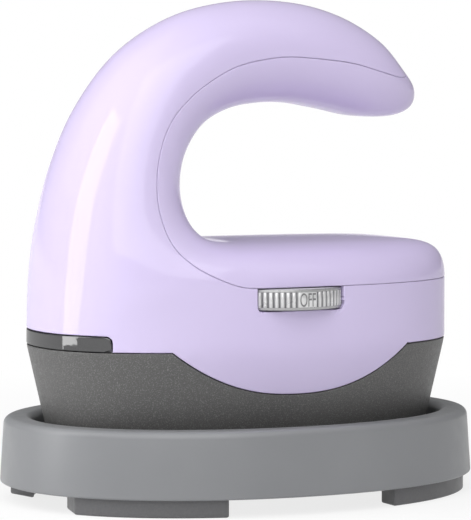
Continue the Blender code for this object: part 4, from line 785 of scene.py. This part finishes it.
class Finish:
    """A node-built material: colour, roughness and relief from noise at the surface's real scale."""

    def __init__(self, name, **sockets):
        self.material = bpy.data.materials.new(name)
        self.material.use_nodes = True
        self.nodes = self.material.node_tree.nodes
        self.shader = self.nodes["Principled BSDF"]
        for socket, value in sockets.items():
            self.shader.inputs[socket.replace("_", " ")].default_value = value
        self.place = self.nodes.new('ShaderNodeTexCoord').outputs["Object"]

    def link(self, source, target):
        self.material.node_tree.links.new(source, target)

    def noise(self, grain, detail=FINE, stretch=EVEN):
        """Noise whose features are about one grain wide."""
        mapping = self.nodes.new('ShaderNodeMapping')
        mapping.inputs["Scale"].default_value = stretch
        texture = self.nodes.new('ShaderNodeTexNoise')
        texture.inputs["Scale"].default_value = 1.0 / grain
        texture.inputs["Detail"].default_value = detail
        self.link(self.place, mapping.inputs["Vector"])
        self.link(mapping.outputs["Vector"], texture.inputs["Vector"])
        return texture.outputs["Fac"]

    def ramp(self, source, stops, colours):
        """Colours at given values of a source."""
        ramp = self.nodes.new('ShaderNodeValToRGB')
        while len(ramp.color_ramp.elements) < len(stops):
            ramp.color_ramp.elements.new(0.5)
        for element, position, colour in zip(ramp.color_ramp.elements, stops, colours):
            element.position = position
            element.color = (*colour, 1.0)
        self.link(source, ramp.inputs["Fac"])
        return ramp.outputs["Color"]

    def blended(self, first, second, share):
        """The first colour where the share is zero, the second where it is one."""
        mix = self.nodes.new('ShaderNodeMix')
        mix.data_type = 'RGBA'
        self.link(share, mix.inputs[MIX_SHARE])
        for source, index in ((first, MIX_FIRST), (second, MIX_SECOND)):
            if isinstance(source, tuple):
                mix.inputs[index].default_value = (*source, 1.0)
            else:
                self.link(source, mix.inputs[index])
        return mix.outputs[MIX_RESULT]

    def from_axis(self, x, y, near, far):
        """Zero up to one distance from an upright axis, one beyond another."""
        mapping = self.nodes.new('ShaderNodeMapping')
        mapping.inputs["Location"].default_value = (-x, -y, 0.0)
        mapping.inputs["Scale"].default_value = (1.0, 1.0, 0.0)
        length = self.nodes.new('ShaderNodeVectorMath')
        length.operation = 'LENGTH'
        span = self.nodes.new('ShaderNodeMapRange')
        span.inputs["From Min"].default_value = near
        span.inputs["From Max"].default_value = far
        self.link(self.place, mapping.inputs["Vector"])
        self.link(mapping.outputs["Vector"], length.inputs[0])
        self.link(length.outputs["Value"], span.inputs["Value"])
        return span.outputs["Result"]

    def colour(self, source):
        self.link(source, self.shader.inputs["Base Color"])

    def roughness(self, source, low, high):
        span = self.nodes.new('ShaderNodeMapRange')
        first, second = ROUGHNESS_STOPS
        for socket, value in (("From Min", first), ("From Max", second), ("To Min", low), ("To Max", high)):
            span.inputs[socket].default_value = value
        self.link(source, span.inputs["Value"])
        self.link(span.outputs["Result"], self.shader.inputs["Roughness"])

    def bump(self, source, height):
        bump = self.nodes.new('ShaderNodeBump')
        bump.inputs["Strength"].default_value = 1.0
        bump.inputs["Distance"].default_value = height
        self.link(source, bump.inputs["Height"])
        self.link(bump.outputs["Normal"], self.shader.inputs["Normal"])


def plain_finish(name, colour, vary, roughness, grain, height, metallic, stretch):
    """A moulded, cast or rolled surface whose colour, gloss and relief vary a little."""
    finish = Finish(name, Metallic=metallic)
    noise = finish.noise(grain, stretch=stretch)
    low = tuple(max(0.0, c * (1 - vary)) for c in colour)
    high = tuple(min(1.0, c * (1 + vary)) for c in colour)
    finish.colour(finish.ramp(noise, GRAIN_STOPS, (low, high)))
    finish.roughness(finish.noise(PLAIN_SHEEN_GRAINS * grain), roughness * (1 - PLAIN_SHEEN_VARY),
                     roughness * (1 + PLAIN_SHEEN_VARY))
    finish.bump(noise, height)
    return finish.material


def lilac_finish():
    finish = Finish("lilac_gloss", Specular_IOR_Level=0.0, Coat_Weight=LILAC_COAT,
                    Coat_Roughness=LILAC_COAT_ROUGHNESS)
    finish.colour(finish.ramp(finish.noise(LILAC_CLOUD, CLOUDY), CLOUD_STOPS, LILAC_COLOURS))
    finish.roughness(finish.noise(LILAC_SHEEN), *LILAC_ROUGHNESS)
    finish.bump(finish.noise(LILAC_WAVE, SMOOTH), LILAC_RELIEF)
    return finish.material


def speckled_finish():
    finish = Finish("speckled_grey")
    cloud = finish.ramp(finish.noise(SKIRT_CLOUD, CLOUDY), CLOUD_STOPS, SKIRT_COLOURS)
    specks = finish.ramp(finish.noise(SKIRT_SPECK, SMOOTH), SPECK_STOPS, (BLACK, WHITE))
    finish.colour(finish.blended(cloud, SKIRT_SPECK_COLOUR, specks))
    finish.roughness(finish.noise(SKIRT_SHEEN), *SKIRT_ROUGHNESS)
    finish.bump(finish.noise(SKIRT_GRAIN), SKIRT_RELIEF)
    return finish.material


def window_finish():
    finish = Finish("smoked_window", Specular_IOR_Level=0.0, Coat_Weight=WINDOW_COAT,
                    Coat_Roughness=WINDOW_COAT_ROUGHNESS, Coat_IOR=WINDOW_COAT_INDEX)
    finish.colour(finish.ramp(finish.noise(WINDOW_CLOUD), CLOUD_STOPS, WINDOW_COLOURS))
    finish.roughness(finish.noise(WINDOW_SHEEN), *WINDOW_ROUGHNESS)
    finish.bump(finish.noise(WINDOW_WAVE, SMOOTH), WINDOW_RELIEF)
    return finish.material


def tray_finish():
    finish = Finish("satin_grey")
    finish.colour(finish.ramp(finish.noise(TRAY_CLOUD, CLOUDY), CLOUD_STOPS, TRAY_COLOURS))
    finish.roughness(finish.noise(TRAY_SHEEN), *TRAY_ROUGHNESS)
    finish.bump(finish.noise(TRAY_GRAIN), TRAY_RELIEF)
    return finish.material


def silver_finish():
    """Silver paint, with painted shade darkening the grooves between the wheel's ribs."""
    finish = Finish("silver_plastic", Metallic=SILVER_METALLIC)
    flakes = finish.ramp(finish.noise(SILVER_FLAKE, SMOOTH), FLAKE_STOPS, SILVER_COLOURS)
    # Painted shade: dark colour laid in the grooves by distance from the wheel's axis
    groove_shade_place = finish.from_axis(0.0, WHEEL_Y, WHEEL_RADIUS - GROOVE_SHADE_SPAN, WHEEL_RADIUS)
    unshaded = finish.ramp(groove_shade_place, GROOVE_SHADE_STOPS, (WHITE, BLACK, BLACK, WHITE))
    finish.colour(finish.blended(SILVER_GROOVE_SHADE, flakes, unshaded))
    finish.roughness(finish.noise(SILVER_SHEEN), *SILVER_ROUGHNESS)
    finish.bump(finish.noise(SILVER_GRAIN), SILVER_RELIEF)
    return finish.material


def make_finishes():
    finishes = {name: plain_finish(name, *values) for name, values in PLAIN_FINISHES.items()}
    finishes["lilac_gloss"] = lilac_finish()
    finishes["speckled_grey"] = speckled_finish()
    finishes["smoked_window"] = window_finish()
    finishes["satin_grey"] = tray_finish()
    finishes["silver_plastic"] = silver_finish()
    return finishes


def dress_inner_nodes(frame, finishes):
    """Every solid that still shows takes the finish of its slot."""
    for part in frame["record"]["subparts"]:
        node = frame["nodes"][part["node"]]
        if not node.hide_render:
            node.data.materials.clear()
            node.data.materials.append(finishes[part["material_slot"]])


# Light, floor and camera

def make_camera():
    a, e = CAMERA_AZIMUTH, CAMERA_ELEVATION
    back = Vector((math.sin(a) * math.cos(e), -math.cos(a) * math.cos(e), math.sin(e)))
    right = Vector((math.cos(a), math.sin(a), 0.0))
    up = back.cross(right)
    camera = bpy.data.cameras.new("camera")
    camera.sensor_fit = 'VERTICAL'
    camera.sensor_height = CAMERA_SENSOR
    camera.lens = CAMERA_LENS
    camera.clip_start, camera.clip_end = CAMERA_CLIP
    holder = bpy.data.objects.new("camera", camera)
    holder.location = Vector(CAMERA_TARGET) + back * CAMERA_DISTANCE
    aim = (back - AIM_ASIDE * right + AIM_BELOW * up).normalized()
    holder.rotation_euler = aim.to_track_quat('Z', 'Y').to_euler()
    bpy.context.scene.collection.objects.link(holder)
    bpy.context.scene.camera = holder


def add_light(name, azimuth, elevation, distance, target, size, energy):
    """A soft box seen from its target at an azimuth and elevation. Azimuth zero lies along -Y."""
    a, e = math.radians(azimuth), math.radians(elevation)
    back = Vector((math.sin(a) * math.cos(e), -math.cos(a) * math.cos(e), math.sin(e)))
    light = bpy.data.lights.new(name, 'AREA')
    light.shape = 'RECTANGLE'
    light.size, light.size_y = size
    light.energy = energy
    holder = bpy.data.objects.new(name, light)
    holder.location = Vector(target) + distance * back
    holder.rotation_euler = back.to_track_quat('Z', 'Y').to_euler()
    holder.visible_camera = False
    bpy.context.scene.collection.objects.link(holder)


def seen_directly(tree):
    """One where a surface is seen by the camera, in a mirror or through glass, and zero elsewhere."""
    path = tree.nodes.new('ShaderNodeLightPath')
    total = path.outputs["Is Camera Ray"]
    for name in ("Is Glossy Ray", "Is Transmission Ray"):
        highest = tree.nodes.new('ShaderNodeMath')
        highest.operation = 'MAXIMUM'
        tree.links.new(total, highest.inputs[0])
        tree.links.new(path.outputs[name], highest.inputs[1])
        total = highest.outputs[0]
    return total


def make_world():
    """A studio surround: a white band at the horizon under a softer upper part."""
    world = bpy.data.worlds.new("surround")
    world.use_nodes = True
    bpy.context.scene.world = world
    tree = world.node_tree
    surround = tree.nodes["Background"]
    surround.inputs["Color"].default_value = (*WHITE, 1.0)
    place = tree.nodes.new('ShaderNodeTexCoord')
    part = tree.nodes.new('ShaderNodeSeparateXYZ')
    span = tree.nodes.new('ShaderNodeMapRange')
    low, high = (math.sin(angle) for angle in WHITE_BAND)
    for socket, value in (("From Min", low), ("From Max", high), ("To Min", 1.0), ("To Max", UPPER_LIGHT)):
        span.inputs[socket].default_value = value
    tree.links.new(place.outputs["Generated"], part.inputs["Vector"])
    tree.links.new(part.outputs["Z"], span.inputs["Value"])
    tree.links.new(span.outputs["Result"], surround.inputs["Strength"])


def make_floor():
    """A white floor that keeps the soft shadow under the object and fades into the surround."""
    bm = bmesh.new()
    bmesh.ops.create_circle(bm, cap_ends=True, segments=TURN_STEPS, radius=FLOOR_RADIUS)
    mesh = bpy.data.meshes.new("floor")
    bm.to_mesh(mesh)
    bm.free()
    floor = bpy.data.objects.new("floor", mesh)
    bpy.context.scene.collection.objects.link(floor)
    material = bpy.data.materials.new("floor_white")
    material.use_nodes = True
    tree = material.node_tree
    shader = tree.nodes["Principled BSDF"]
    shader.inputs["Base Color"].default_value = (*FLOOR_COLOUR, 1.0)
    shader.inputs["Roughness"].default_value = FLOOR_ROUGHNESS
    glow = tree.nodes.new('ShaderNodeEmission')
    place = tree.nodes.new('ShaderNodeTexCoord')
    length = tree.nodes.new('ShaderNodeVectorMath')
    length.operation = 'LENGTH'
    span = tree.nodes.new('ShaderNodeMapRange')
    for socket, value in (("From Min", SHADOW_CORE), ("From Max", SHADOW_REACH),
                          ("To Min", 1 - FLOOR_SHADE), ("To Max", 1.0)):
        span.inputs[socket].default_value = value
    seen = tree.nodes.new('ShaderNodeMath')
    seen.operation = 'MULTIPLY'
    mix = tree.nodes.new('ShaderNodeMixShader')
    tree.links.new(place.outputs["Object"], length.inputs[0])
    tree.links.new(length.outputs["Value"], span.inputs["Value"])
    tree.links.new(span.outputs["Result"], seen.inputs[0])
    tree.links.new(seen_directly(tree), seen.inputs[1])
    tree.links.new(seen.outputs[0], mix.inputs["Fac"])
    tree.links.new(shader.outputs["BSDF"], mix.inputs[1])
    tree.links.new(glow.outputs["Emission"], mix.inputs[2])
    tree.links.new(mix.outputs["Shader"], tree.nodes["Material Output"].inputs["Surface"])
    mesh.materials.append(material)


def main():
    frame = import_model()
    bpy.context.scene.view_settings.view_transform = 'Standard'
    make_camera()
    make_world()
    make_floor()
    for light in LIGHTS:
        add_light(*light)
    finishes = make_finishes()
    make_shells(finishes)
    make_tray(finishes)
    make_pads(finishes)
    make_plate(finishes)
    make_gland(finishes)
    make_wheel(finishes)
    dress_inner_nodes(frame, finishes)


main()
